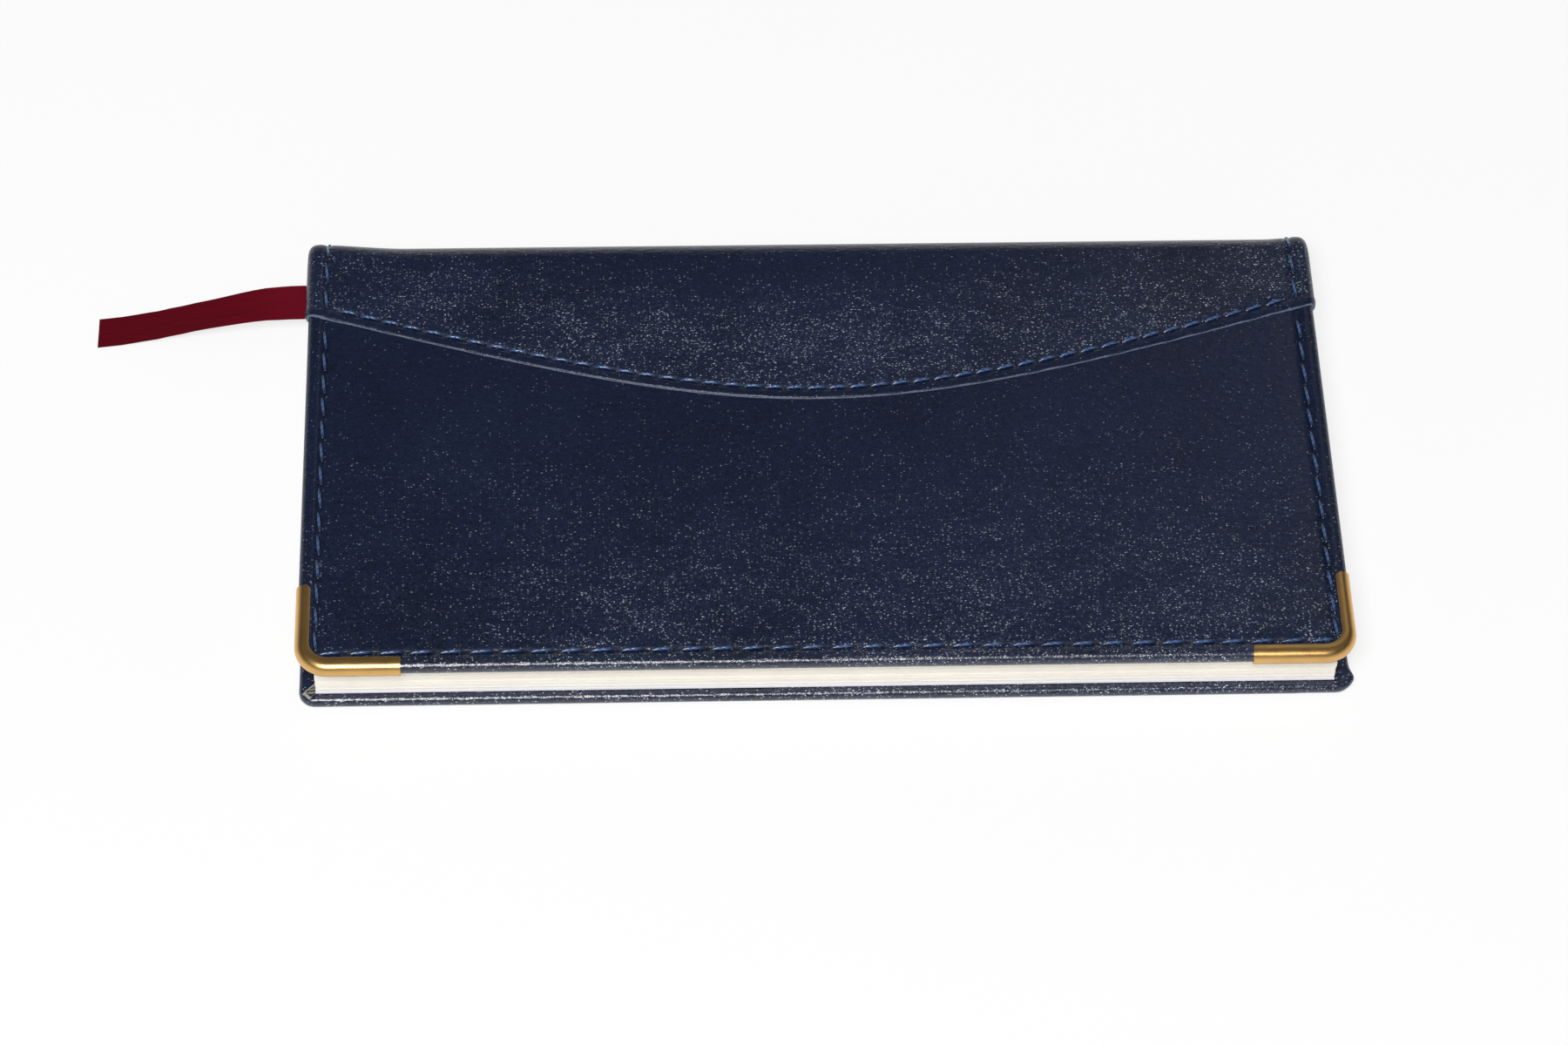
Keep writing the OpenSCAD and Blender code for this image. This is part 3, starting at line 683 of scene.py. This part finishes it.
def new_tree(name, result, sockets):
    """Starts a tree with named inputs and one result: the tree, the function that adds its nodes,
    and its inputs."""
    tree = bpy.data.node_groups.new(name, "GeometryNodeTree")
    for label, kind, value in sockets:
        socket = tree.interface.new_socket(label, in_out="INPUT", socket_type="NodeSocket" + kind)
        if value is not None:
            socket.default_value = value
    tree.interface.new_socket(result, in_out="OUTPUT", socket_type="NodeSocketGeometry")
    add = partial(add_node, tree)
    return tree, add, add("GroupInput").outputs


def end_tree(add, laid, finish):
    """Makes a tree's instances real, gives them their material and hands them out."""
    real = add("RealizeInstances", (laid,))
    dressed = add("SetMaterial", {"Geometry": real, "Material": finish})
    add("GroupOutput", (dressed,))


def stitch_tree():
    """A tree that lays one slanted stitch on each point of the seams."""
    tree, add, given = new_tree("lay_stitches", "Stitches", (
        ("Seams", "Geometry", None), ("Stitch Length", "Float", 3.7 * MM),
        ("Thread Width", "Float", 0.6 * MM), ("Sink", "Float", 0.25 * MM),
        ("Slant", "Float", 0.1), ("Thread", "Material", None)))
    half = add("Math", (given["Stitch Length"], 0.5), operation="MULTIPLY")
    back = add("Math", (half, -1.0), operation="MULTIPLY")
    start = add("CombineXYZ", {"X": back})
    stop = add("CombineXYZ", {"X": half})
    line = add("CurvePrimitiveLine", {"Start": start, "End": stop})
    strand = add("ResampleCurve", {"Curve": line, "Count": 11})
    # The strand bows up, and sinks and thins where it enters its holes.
    factor = add("SplineParameter")
    across = add("Math", (factor, 2.0, -1.0), operation="MULTIPLY_ADD")
    near_end = add("Math", (across, 4.0), operation="POWER")
    sink = add("Math", (near_end, given["Sink"]), operation="MULTIPLY")
    drop = add("Math", (sink, -1.0), operation="MULTIPLY")
    offset = add("CombineXYZ", {"Z": drop})
    bowed = add("SetPosition", {"Geometry": strand, "Offset": offset})
    slim = add("Math", (near_end, -0.45, 1.0), operation="MULTIPLY_ADD")
    tapered = add("SetCurveRadius", {"Curve": bowed, "Radius": slim})
    radius = add("Math", (given["Thread Width"], 0.5), operation="MULTIPLY")
    ring = add("CurvePrimitiveCircle", {"Resolution": 10, "Radius": radius})
    body = add("CurveToMesh", {"Curve": tapered, "Profile Curve": ring, "Fill Caps": True})
    in_mm = add("VectorMath", (add("InputPosition"), (1 / MM,) * 3), operation="MULTIPLY")
    marked = add("StoreNamedAttribute", {"Geometry": body, "Name": "lay", "Value": in_mm},
                 data_type="FLOAT_VECTOR", domain="POINT")
    smooth = add("SetShadeSmooth", {"Geometry": marked})
    outward, heading = (add("InputNamedAttribute", {"Name": name}, data_type="FLOAT_VECTOR")
                        for name in ("outward", "heading"))
    along = add("AlignRotationToVector", {"Vector": heading}, axis="X")
    upright = add("AlignRotationToVector", {"Rotation": along, "Vector": outward}, axis="Z",
                  pivot_axis="X")
    lean = add("CombineXYZ", {"Z": given["Slant"]})
    lean_turn = add("EulerToRotation", {"Euler": lean})
    slanted = add("RotateRotation", {"Rotation": upright, "Rotate By": lean_turn},
                  rotation_space="LOCAL")
    laid = add("InstanceOnPoints", {"Points": given["Seams"], "Instance": smooth,
                                    "Rotation": slanted})
    end_tree(add, laid, given["Thread"])
    return tree


def leaf_tree():
    """A tree that stacks leaves, each a hair out of line with the rest."""
    tree, add, given = new_tree("stack_leaves", "Stack", (
        ("Leaves", "Int", 6), ("Length", "Float", 159 * MM), ("Depth", "Float", 83 * MM),
        ("Thickness", "Float", 0.1 * MM), ("Foot", "Vector", (0, 0, 0)),
        ("Spread", "Vector", (0, 0, 0)), ("Seed", "Int", 1), ("Paper", "Material", None)))
    pitch = add("CombineXYZ", {"Z": given["Thickness"]})
    column = add("MeshLine", {"Count": given["Leaves"], "Start Location": given["Foot"],
                              "Offset": pitch})
    low = add("VectorMath", (given["Spread"], (-1, -1, -1)), operation="MULTIPLY")
    stray = add("RandomValue", {0: low, 1: given["Spread"], "Seed": given["Seed"]},
                data_type="FLOAT_VECTOR")
    loose = add("SetPosition", {"Geometry": column, "Offset": stray})
    thin = add("Math", (given["Thickness"], 0.94), operation="MULTIPLY")
    size = add("CombineXYZ", (given["Length"], given["Depth"], thin))
    sheet = add("MeshCube", {"Size": size})
    leaf = add("SetShadeSmooth", {"Geometry": sheet, "Shade Smooth": False})
    laid = add("InstanceOnPoints", {"Points": loose, "Instance": leaf})
    end_tree(add, laid, given["Paper"])
    return tree


def run_tree(tree, values, name, mesh=None):
    """Runs a tree with named values, on a mesh if it needs one, and keeps what it makes."""
    source = add_object("source", mesh or bpy.data.meshes.new("source"))
    modifier = source.modifiers.new(tree.name, "NODES")
    modifier.node_group = tree
    sockets = {i.name: i.identifier for i in tree.interface.items_tree if i.in_out == "INPUT"}
    for key, value in values.items():
        modifier[sockets[key]] = value
    made = settle(source, modifier)
    made.name = name
    bpy.data.objects.remove(source)
    return add_object(name, made)


def sew(s, name, spots, stitch):
    """Stitches at spots of (place, heading, outward), as one mesh."""
    tree = bpy.data.node_groups.get("lay_stitches") or stitch_tree()
    mesh = bpy.data.meshes.new("seams")
    places, headings, outs = (np.array(part, np.float32) for part in zip(*spots))
    mesh.from_pydata(places, [], [])
    for key, values in (("heading", headings), ("outward", outs)):
        layer = mesh.attributes.new(key, "FLOAT_VECTOR", "POINT")
        layer.data.foreach_set("vector", values.ravel())
    values = {"Stitch Length": stitch, "Thread Width": s.thread, "Sink": 0.3 * MM,
              "Slant": 0.1, "Thread": material(THREAD)}
    return run_tree(tree, values, name, mesh)


def straight_row(start, stop, pitch, outward):
    """Spots of the stitches that fill a straight run."""
    start, stop = Vector(start), Vector(stop)
    run = stop - start
    count = stitch_count(run.length, pitch)
    return [(start + run * ((k + 0.5) / count), run.normalized(), outward) for k in range(count)]


def edge_rows(s, level, outward, runs):
    """Spots along the fore edge, and along runs of (from, to, level) at both ends of a cover."""
    x, y = s.half_length - s.margin, s.fore + s.margin
    spots = straight_row((-x, y, level), (x, y, level), s.pitch, outward)
    for side in (-x, x):
        for low, high, z in runs:
            spots += straight_row((side, low, z), (side, high, z), s.pitch, outward)
    return spots


# Operators


class PLANNER_OT_stage(bpy.types.Operator):
    """Sets the table, the light and the camera"""

    bl_idname = "planner.stage"
    bl_label = "Stage"

    def execute(self, context):
        scene = context.scene
        scene.view_settings.view_transform = "Standard"
        floor_material(scene.planner_colours)
        near, far = -TABLE_HALF, TABLE_HALF
        mesh = bpy.data.meshes.new("table")
        mesh.from_pydata([(near, near, 0), (far, near, 0), (far, far, 0), (near, far, 0)], [],
                         [(0, 1, 2, 3)])
        mesh.materials.append(material(PAINT))
        add_object("table", mesh)

        scene.world = bpy.data.worlds.new("studio")
        scene.world.use_nodes = True
        scene.world.node_tree.nodes.clear()
        add = partial(add_node, scene.world.node_tree)
        way = add("TexCoord").outputs["Generated"]
        up = add("SeparateXYZ", (way,)).outputs["Z"]
        ramp = add("ValToRGB", (up,))
        stops = ramp.color_ramp.elements
        stops[0].position, stops[0].color = 0.0, WALLS
        stops[1].position, stops[1].color = 1.0, CEILING
        for place, tone in ((0.25, WALLS), (0.46, DUSK), (0.6, DUSK), (0.8, CEILING)):
            stops.new(place).color = tone
        add("OutputWorld", (add("Background", (ramp,)),))

        for name, place, size, power in LAMPS:
            light = bpy.data.lights.new(name, "AREA")
            light.shape, light.size, light.energy = "DISK", size, power
            lamp = add_object(name, light)
            lamp.location = place
            lamp.rotation_euler = (-Vector(place)).to_track_quat("-Z", "Y").to_euler()

        view = bpy.data.cameras.new("camera")
        view.sensor_width, view.sensor_fit = SENSOR_MM, "HORIZONTAL"
        view.lens = FOCAL_PIXELS / PHOTO_WIDTH * SENSOR_MM
        view.clip_start, view.clip_end = 0.01, 50.0
        scene.camera = add_object("camera", view)
        pose = Matrix.Translation(CAMERA_TARGET)
        for angle, axis in ((CAMERA_TURN, "Z"), (math.pi / 2 - CAMERA_LIFT, "X"), (CAMERA_ROLL, "Z")):
            pose = pose @ Matrix.Rotation(angle, 4, axis)
        scene.camera.matrix_world = pose @ Matrix.Translation((0, 0, CAMERA_DISTANCE))
        return {"FINISHED"}


class PLANNER_OT_materials(bpy.types.Operator):
    """Mixes the planner's materials"""

    bl_idname = "planner.materials"
    bl_label = "Materials"

    def execute(self, context):
        c = context.scene.planner_colours
        leather_material(c, context.scene.planner_sizes)
        cut_edge_material(c)
        thread_material(c)
        gilt_material(c)
        paper_material(PAPER, c.paper, c.endpaper, c.rule)
        paper_material(ENDPAPER, c.endpaper)
        fibre_material(BOARD, c.board, 0.6, 0.9)
        fibre_material(FOAM, c.foam, 0.4, 0.95)
        fibre_material(MULL, c.cloth, 0.5, 0.9)
        ribbon_material(c)
        return {"FINISHED"}


class PLANNER_OT_ribbon(bpy.types.Operator):
    """Lays the ribbon's free tail out of the pages and down to the table"""

    bl_idname = "planner.ribbon"
    bl_label = "Ribbon"

    def execute(self, context):
        s = context.scene.planner_sizes
        low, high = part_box("ribbon_marker")
        foot = Vector((low.x, (low.y + high.y) / 2, 0))
        height = (low.z + high.z) / 2
        route = [foot + Vector((-x * MM, -y * MM, height * share)) for x, y, share in TAIL]
        across = np.linspace(-1, 1, 9)
        twist_turn, twist_in, twist_start, twist_out = math.radians(-16), 3 * MM, 4 * MM, 18 * MM
        cup_depth, slack_points = 0.05 * MM, 6
        rings = []
        for k, p in enumerate(route):
            ahead = route[min(k + 1, len(route) - 1)] - route[max(k - 1, 0)]
            slack = min(1.0, k / slack_points)
            # Out of the pages the ribbon turns its face to the fore edge, then lies flat.
            run = (route[0] - p).x
            flatter = 1 - smoothstep((run - twist_start) / twist_out)
            turn = Matrix.Rotation(twist_turn * smoothstep(run / twist_in) * flatter, 3, ahead)
            up = turn @ Vector((ahead.z, 0, -ahead.x)).normalized()
            side = turn @ Vector((0, 1, 0))
            ring = []
            for face in (1, -1):
                for t in across[::face]:
                    cup = cup_depth * slack * (t * t - 0.4)
                    thick = s.ribbon_thickness / 2 * (0.75 + 0.25 * abs(t))
                    ring.append(p + side * (t * s.ribbon_width / 2) + up * (cup + face * thick))
            rings.append(ring)
        tail = make_piece("ribbon_tail_satin", *loft(rings), (SATIN,))
        dress(tail, "back_cover", "ribbon_tail")
        run = sum((b - a).length for a, b in zip(route, route[1:]))
        return {"FINISHED"}


class PLANNER_OT_front_panel(bpy.types.Operator):
    """Stretches the padded leather over the front board"""

    bl_idname = "planner.front_panel"
    bl_label = "Front panel"

    def execute(self, context):
        s = context.scene.planner_sizes
        (side_low, side_high), _ = side_rows(s)
        stitch_x = s.half_length - s.margin
        fore_step = row_step(2 * stitch_x, s.pitch)
        side_step = row_step(side_high - side_low, s.pitch)
        # Under a gilt corner the bead is pressed flat.
        leg, flange = s.metal_leg + 0.6 * MM, 3.2 * MM
        pad_start, pad_run = 3.4 * MM, 4 * MM
        soft_rise, soft_start, soft_run = 0.03 * MM, 4 * MM, 6 * MM

        def height(d, x, y):
            dx, dy = s.half_length - np.abs(x), y - s.fore
            covered = np.maximum(
                smoothstep((leg - dx) / MM) * smoothstep((flange - dy) / MM),
                smoothstep((leg - dy) / MM) * smoothstep((flange - dx) / MM))
            pad = s.pad_rise * smoothstep((d - pad_start) / pad_run)
            dips = np.where(dy < dx, stitch_dips(x, -stitch_x, fore_step),
                            stitch_dips(y, side_low, side_step))
            pucker = PUCKER * dips * hump(d, s.margin, PUCKER_WIDTH)
            wave = np.sin(x / (13 * MM)) * np.cos(y / (9 * MM) + x / (31 * MM))
            soft = soft_rise * wave * smoothstep((d - soft_start) / soft_run)
            return edge_height(s, d, 1 - covered) + pad - pucker + soft

        panel = cover_skin(s, "front_panel_leather", s.front_corner, FRONT_HIGH.z, FRONT_LOW.z,
                           height)
        mitre = 0.7 * MM
        for side in (-1, 1):
            cut_mitre(panel, s, side, mitre, FRONT_LOW.z)
        dress(panel, "front_cover", "front_leather")
        return {"FINISHED"}


class PLANNER_OT_yoke(bpy.types.Operator):
    """Lays the curved yoke over the front panel and round its ends"""

    bl_idname = "planner.yoke"
    bl_label = "Yoke"

    def execute(self, context):
        s = context.scene.planner_sizes
        thick = YOKE_HIGH.z - FRONT_HIGH.z
        middle = FRONT_HIGH.z - FRONT_RADIUS
        half_row = s.half_length - s.margin - ROW_GAP
        step = row_step(2 * half_row, s.yoke_pitch)
        _, (side_low, side_high) = side_rows(s)
        side_step = row_step(side_high - side_low, s.pitch)
        insets = np.array((0.2, 0.28, 0.45, 0.75, 1.05, 1.35, 1.6, 1.8, 2.0, 2.2, 2.4, 2.6, 2.8,
                           3.1, 3.5, 4.0, 4.6, 5.3)) * MM
        skive = insets[0]
        lip_rise, lip_place, lip_width = 0.12 * MM, 1.1 * MM, 0.55 * MM
        row_width, row_fade, side_width = 0.4 * MM, 0.8 * MM, 0.7 * MM
        puff_rise, puff_start, puff_run, puff_end = 0.16 * MM, 2.7 * MM, 5 * MM, 9 * MM
        side_start, side_run, down_start = 3 * MM, 4 * MM, 1.6 * MM
        trim_depth, trim_run = 0.08 * MM, 0.12 * MM
        rings = []
        for x0, wrap in bend_columns(s):
            x = x0 + (FRONT_RADIUS + thick) * math.sin(wrap)
            edge, slant = float(yoke_edge(s, x)), float(yoke_lean(s, x))
            lean = math.cos(slant)
            ragged = 0.75 + 0.3 * math.sin(x / (0.9 * MM)) * math.sin(x / (3.7 * MM) + 1)
            near = edge + insets / lean
            near[0] = edge + skive * ragged / lean
            y = np.concatenate((near, np.linspace(near[-1], s.joint, 22)[1:]))
            v = (y - edge) * lean
            lip = lip_rise * hump(v, lip_place, lip_width)
            row = s.channel * hump(v, s.yoke_margin, row_width)
            row = row * smoothstep((half_row + row_fade - abs(x)) / MM)
            dips = stitch_dips(x + v * math.sin(slant), -half_row, step)
            pucker = PUCKER * dips * hump(v, s.yoke_margin, PUCKER_WIDTH)
            flat = wrap == 0
            dx = s.half_length - abs(x0) if flat else FRONT_RADIUS * (1 - abs(math.sin(wrap)))
            puff = puff_rise * smoothstep((v - puff_start) / puff_run)
            puff = puff * smoothstep((s.joint - y) / puff_end)
            puff = puff * smoothstep((dx - side_start) / side_run)
            side_dips = stitch_dips(y, side_low, side_step) * hump(dx, s.margin, side_width)
            down = smoothstep((y - edge - down_start) / MM)
            side = (edge_height(s, dx) - PUCKER * side_dips) * down if flat else 0.0
            trim = trim_depth * np.exp((skive - v) / trim_run)
            rise = thick + lip - row - pucker + puff + side - trim
            profile = [(edge, 0.0), *zip(y, rise), (s.joint, 0.0)]
            rings.append([(x0 + (FRONT_RADIUS + h) * math.sin(wrap), place,
                           middle + (FRONT_RADIUS + h) * math.cos(wrap)) for place, h in profile])
        # The cut edge is the first face of each column and both ends.
        which = ([1] + [0] * (len(rings[0]) - 1)) * (len(rings) - 1) + [1, 1]
        yoke = make_piece("yoke_leather", *loft(rings), (LEATHER, CUT_EDGE), which)
        dress(yoke, "front_cover", "yoke_panel")
        return {"FINISHED"}


class PLANNER_OT_spine(bpy.types.Operator):
    """Bends the spine's leather from one cover round to the other"""

    bl_idname = "planner.spine"
    bl_label = "Spine"

    def execute(self, context):
        s = context.scene.planner_sizes
        back_radius = PASTE_LOW.z / 2 + TURN_IN / 2
        grown = YOKE_HIGH.z - FRONT_HIGH.z
        inner, inner_end = SPINE_RADIUS - s.leather, s.half_length - 1.4 * MM
        steps = 26
        for half, low, bodies, start, end in spine_halves(s):
            rings = []
            for k in range(steps + 1):
                degrees = low + 90 * k / steps
                angle = math.radians(degrees)
                share = (degrees + 90) / 180
                radius = back_radius + share * (FRONT_RADIUS - back_radius)
                reach = radius + share * grown
                line = []
                for x0, wrap in bend_columns(s):
                    far = SPINE_RADIUS + spine_flare(s, x0, degrees)
                    if wrap == 0:
                        d = s.half_length - abs(x0)
                        line.append((x0, far + float(edge_height(s, d)) * share))
                    else:
                        x = math.copysign(s.half_length - radius, x0) + reach * math.sin(wrap)
                        line.append((x, far - reach * (1 - math.cos(wrap))))
                line += [(inner_end, inner), (0.0, inner), (-inner_end, inner)]
                rings.append([(x, s.joint + far * math.cos(angle),
                               SPINE_RADIUS + far * math.sin(angle)) for x, far in line])
            piece = make_piece(f"spine_leather_{half}", *loft(rings), (LEATHER,))
            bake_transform(piece)
            if half == "back":
                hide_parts("spine_leather")
        return {"FINISHED"}


class PLANNER_OT_back_cover(bpy.types.Operator):
    """Wraps the back board in leather, with its open mitre and gathered head corner"""

    bl_idname = "planner.back_cover"
    bl_label = "Back cover"

    def execute(self, context):
        s = context.scene.planner_sizes
        face = PASTE_LOW.z + TURN_IN
        channel, mitre = 0.2 * MM, 1.6 * MM
        ear_place, ear_width, ear_lift = 2.2 * MM, 1.7 * MM, 0.5 * MM

        def height(d, x, y):
            return -channel * hump(d, s.margin, CHANNEL_WIDTH)

        def gather(p, share):
            if p[0] <= 0.9 * s.half_length:
                return p
            near = hump(p[1] - s.fore, ear_place, ear_width) * share ** 2
            return [p[0] + s.ear * near, p[1], p[2] + ear_lift * near]

        back = cover_skin(s, "back_cover_leather", s.back_corner, 0.0, face, height, gather)
        cut_mitre(back, s, -1, mitre, face)
        dress(back, "back_cover", "back_leather")
        return {"FINISHED"}


class PLANNER_OT_stitching(bpy.types.Operator):
    """Sews the edges of both covers, the yoke and the ends of the spine"""

    bl_idname = "planner.stitching"
    bl_label = "Stitching"

    def execute(self, context):
        s = context.scene.planner_sizes
        top, bottom = Vector((0, 0, 1)), Vector((0, 0, -1))
        stitch_x = s.half_length - s.margin
        stitch = s.pitch * STITCH_SHARE
        proud = 0.1 * MM
        lift = s.thread / 2 - s.channel + proud
        panel, yoke, under = FRONT_HIGH.z + lift, YOKE_HIGH.z + lift, s.thread / 2 + 0.07 * MM

        on_panel, on_yoke = side_rows(s)
        spots = edge_rows(s, panel, top, ((*on_panel, panel), (*on_yoke, yoke)))
        dress(sew(s, "front_edge_stitches", spots, stitch),
              "front_cover", "front_stitching")

        half_row = stitch_x - ROW_GAP
        count = stitch_count(2 * half_row, s.yoke_pitch)
        spots = []
        for k in range(count):
            x = (2 * (k + 0.5) / count - 1) * half_row
            lean = float(yoke_lean(s, x))
            way = Vector((math.cos(lean), math.sin(lean), 0))
            place = Vector((x, float(yoke_edge(s, x)), yoke)) + top.cross(way) * s.yoke_margin
            spots.append((place, way, top))
        dress(sew(s, "yoke_stitches", spots, s.yoke_pitch * STITCH_SHARE),
              "front_cover", "yoke_stitching")

        spots = edge_rows(s, under, bottom, ((s.fore + s.margin, s.joint, under),))
        dress(sew(s, "back_edge_stitches", spots, stitch),
              "back_cover", "back_stitching")

        for half, first, bodies, start, end in spine_halves(s):
            spots = []
            for side in (-stitch_x, stitch_x):
                for a in (first + 22.5, first + 67.5):
                    way = Vector((0, math.cos(math.radians(a)), math.sin(math.radians(a))))
                    far = SPINE_RADIUS + lift * (a + 90) / 180 - proud + spine_flare(s, side, a)
                    place = Vector((side, s.joint, SPINE_RADIUS)) + way * far
                    spots.append((place, way.cross(Vector((1, 0, 0))), way))
            ends = sew(s, f"spine_stitches_{half}", spots, stitch * STITCH_SHARE)
            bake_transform(ends)
            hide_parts("spine_stitching")
        return {"FINISHED"}


class PLANNER_OT_corners(bpy.types.Operator):
    """Presses the two gilt corners onto the front cover"""

    bl_idname = "planner.corners"
    bl_label = "Gilt corners"

    def profile(self, s, flange):
        """Section of the channel as (distance from the edge, height) pairs, closed."""
        radius, middle = FRONT_RADIUS, (FRONT_HIGH.z + FRONT_LOW.z) / 2
        inn, lip = radius + s.metal_seat, s.metal / 2
        mid, out = inn + lip, inn + s.metal
        stop = math.radians(152)
        loop = [(radius - out * math.sin(a), middle + out * math.cos(a))
                for a in np.linspace(0, stop, 21)]
        for a in np.linspace(0, math.pi, 7)[1:-1]:
            far, past = mid + lip * math.cos(a), lip * math.sin(a)
            loop.append((radius - far * math.sin(stop) - past * math.cos(stop),
                         middle + far * math.cos(stop) - past * math.sin(stop)))
        loop += [(radius - inn * math.sin(a), middle + inn * math.cos(a))
                 for a in np.linspace(stop, 0, 15)]
        for a in np.linspace(-math.pi / 2, math.pi / 2, 7):
            loop.append((flange - lip + lip * math.cos(a), middle + mid + lip * math.sin(a)))
        return loop

    def flange(self, s, from_end, end_round):
        """Depth of the flange, which is rounded off at the end of a leg."""
        cut = max(0.0, end_round - from_end)
        return s.metal_flange - end_round + math.sqrt(end_round ** 2 - cut ** 2)

    def execute(self, context):
        s = context.scene.planner_sizes
        corner = s.front_corner
        leg = s.metal_leg - corner - s.metal - s.metal_seat
        fore_round, side_round = 0.3 * MM, 1.0 * MM
        from_end = np.array([0, 0.04, 0.1, 0.2, 0.32, 0.46, 0.62, 0.8, 1.0, 1.6, 3, 5, 8]) * MM
        stations = [((q - leg, 0.0), (0.0, -1.0), self.flange(s, q, fore_round)) for q in from_end]
        stations += [((0.0, 0.0), (math.sin(a), -math.cos(a)), s.metal_flange)
                     for a in np.linspace(0, math.pi / 2, 19)]
        stations += [((0.0, leg - q), (1.0, 0.0), self.flange(s, q, side_round))
                     for q in from_end[::-1]]
        for end, side in (("tail", -1), ("head", 1)):
            rings = []
            for shift, way, flange in stations:
                x, y = s.half_length - corner + shift[0], s.fore + corner + shift[1]
                rings.append([(side * (x + way[0] * (corner - d)), y + way[1] * (corner - d), z)
                              for d, z in self.profile(s, flange)])
            piece = make_piece(f"corner_gilt_{end}", *loft(rings), (GILT,))
            dress(piece, "front_cover", f"corner_{end}")
        return {"FINISHED"}


class PLANNER_OT_pages(bpy.types.Operator):
    """Stacks the leaves of each section"""

    bl_idname = "planner.pages"
    bl_label = "Pages"

    def execute(self, context):
        s = context.scene.planner_sizes
        tree = leaf_tree()
        stray = 0.09 * MM
        for k in range(1, 7):
            node = f"section_{k}"
            low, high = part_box(node)
            groove = RIBBON_GROOVE if k == RIBBON_SECTION else 0.0
            leaf = (high.z - low.z - groove) / s.leaves
            middle = (low.x + high.x) / 2
            values = {
                "Leaves": s.leaves, "Length": high.x - low.x - 2 * stray,
                "Depth": high.y - low.y - 2 * stray, "Thickness": leaf,
                "Foot": (middle, (low.y + high.y) / 2, low.z + leaf / 2),
                "Spread": (stray, stray, 0.0), "Seed": k, "Paper": material(PAPER),
            }
            stack = run_tree(tree, values, f"{node}_leaves")
            if groove:
                # The top leaf lies beside the ribbon, in two strips.
                strip_low, strip_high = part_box("ribbon_marker")
                for near, far in ((low.y, strip_low.y), (strip_high.y, high.y)):
                    part = {**values, "Leaves": 1, "Depth": far - near - 2 * stray,
                            "Thickness": groove, "Spread": (0.0, 0.0, 0.0),
                            "Foot": (middle, (near + far) / 2, high.z - groove / 2)}
                    join_piece(stack, run_tree(tree, part, "strip"))
            dress(stack, "back_cover" if k <= RIBBON_SECTION else "front_pages", node)
        return {"FINISHED"}


class PLANNER_OT_inner_parts(bpy.types.Operator):
    """Dresses the boards, papers, cloth and inner ribbon that keep their own shape"""

    bl_idname = "planner.inner_parts"
    bl_label = "Inner parts"

    def execute(self, context):
        finishes = {"board": BOARD, "foam": FOAM, "paper": PAPER, "endpaper": ENDPAPER,
                    "mull": MULL, "ribbon": SATIN}
        for part in frame["record"]["subparts"]:
            node = frame["nodes"][part["node"]]
            finish = finishes.get(part["material_slot"])
            if finish is None or node.hide_render:
                continue
            node.data.materials.clear()
            node.data.materials.append(material(finish))
        return {"FINISHED"}


STEPS = (
    PLANNER_OT_stage, PLANNER_OT_materials, PLANNER_OT_ribbon, PLANNER_OT_front_panel,
    PLANNER_OT_yoke, PLANNER_OT_spine, PLANNER_OT_back_cover, PLANNER_OT_stitching,
    PLANNER_OT_corners, PLANNER_OT_pages, PLANNER_OT_inner_parts,
)


class PLANNER_PT_panel(bpy.types.Panel):
    """Lists the planner's steps, sizes and colours"""

    bl_idname = "PLANNER_PT_panel"
    bl_label = "Pocket planner"
    bl_space_type = "VIEW_3D"
    bl_region_type = "UI"
    bl_category = "Planner"

    def draw(self, context):
        for step in STEPS:
            self.layout.operator(step.bl_idname)
        for group in (context.scene.planner_sizes, context.scene.planner_colours):
            box = self.layout.box()
            for name in group.__annotations__:
                box.prop(group, name)


CLASSES = (PlannerSizes, PlannerColours, *STEPS, PLANNER_PT_panel)


def register():
    for made in CLASSES:
        bpy.utils.register_class(made)
    bpy.types.Scene.planner_sizes = PointerProperty(type=PlannerSizes)
    bpy.types.Scene.planner_colours = PointerProperty(type=PlannerColours)


def unregister():
    del bpy.types.Scene.planner_colours
    del bpy.types.Scene.planner_sizes
    for made in reversed(CLASSES):
        bpy.utils.unregister_class(made)


def main():
    register()
    bpy.ops.planner.stage()
    bpy.ops.planner.materials()
    bpy.ops.planner.ribbon()
    bpy.ops.planner.front_panel()
    bpy.ops.planner.yoke()
    bpy.ops.planner.spine()
    bpy.ops.planner.back_cover()
    bpy.ops.planner.stitching()
    bpy.ops.planner.corners()
    bpy.ops.planner.pages()
    bpy.ops.planner.inner_parts()


if __name__ == "__main__":
    main()
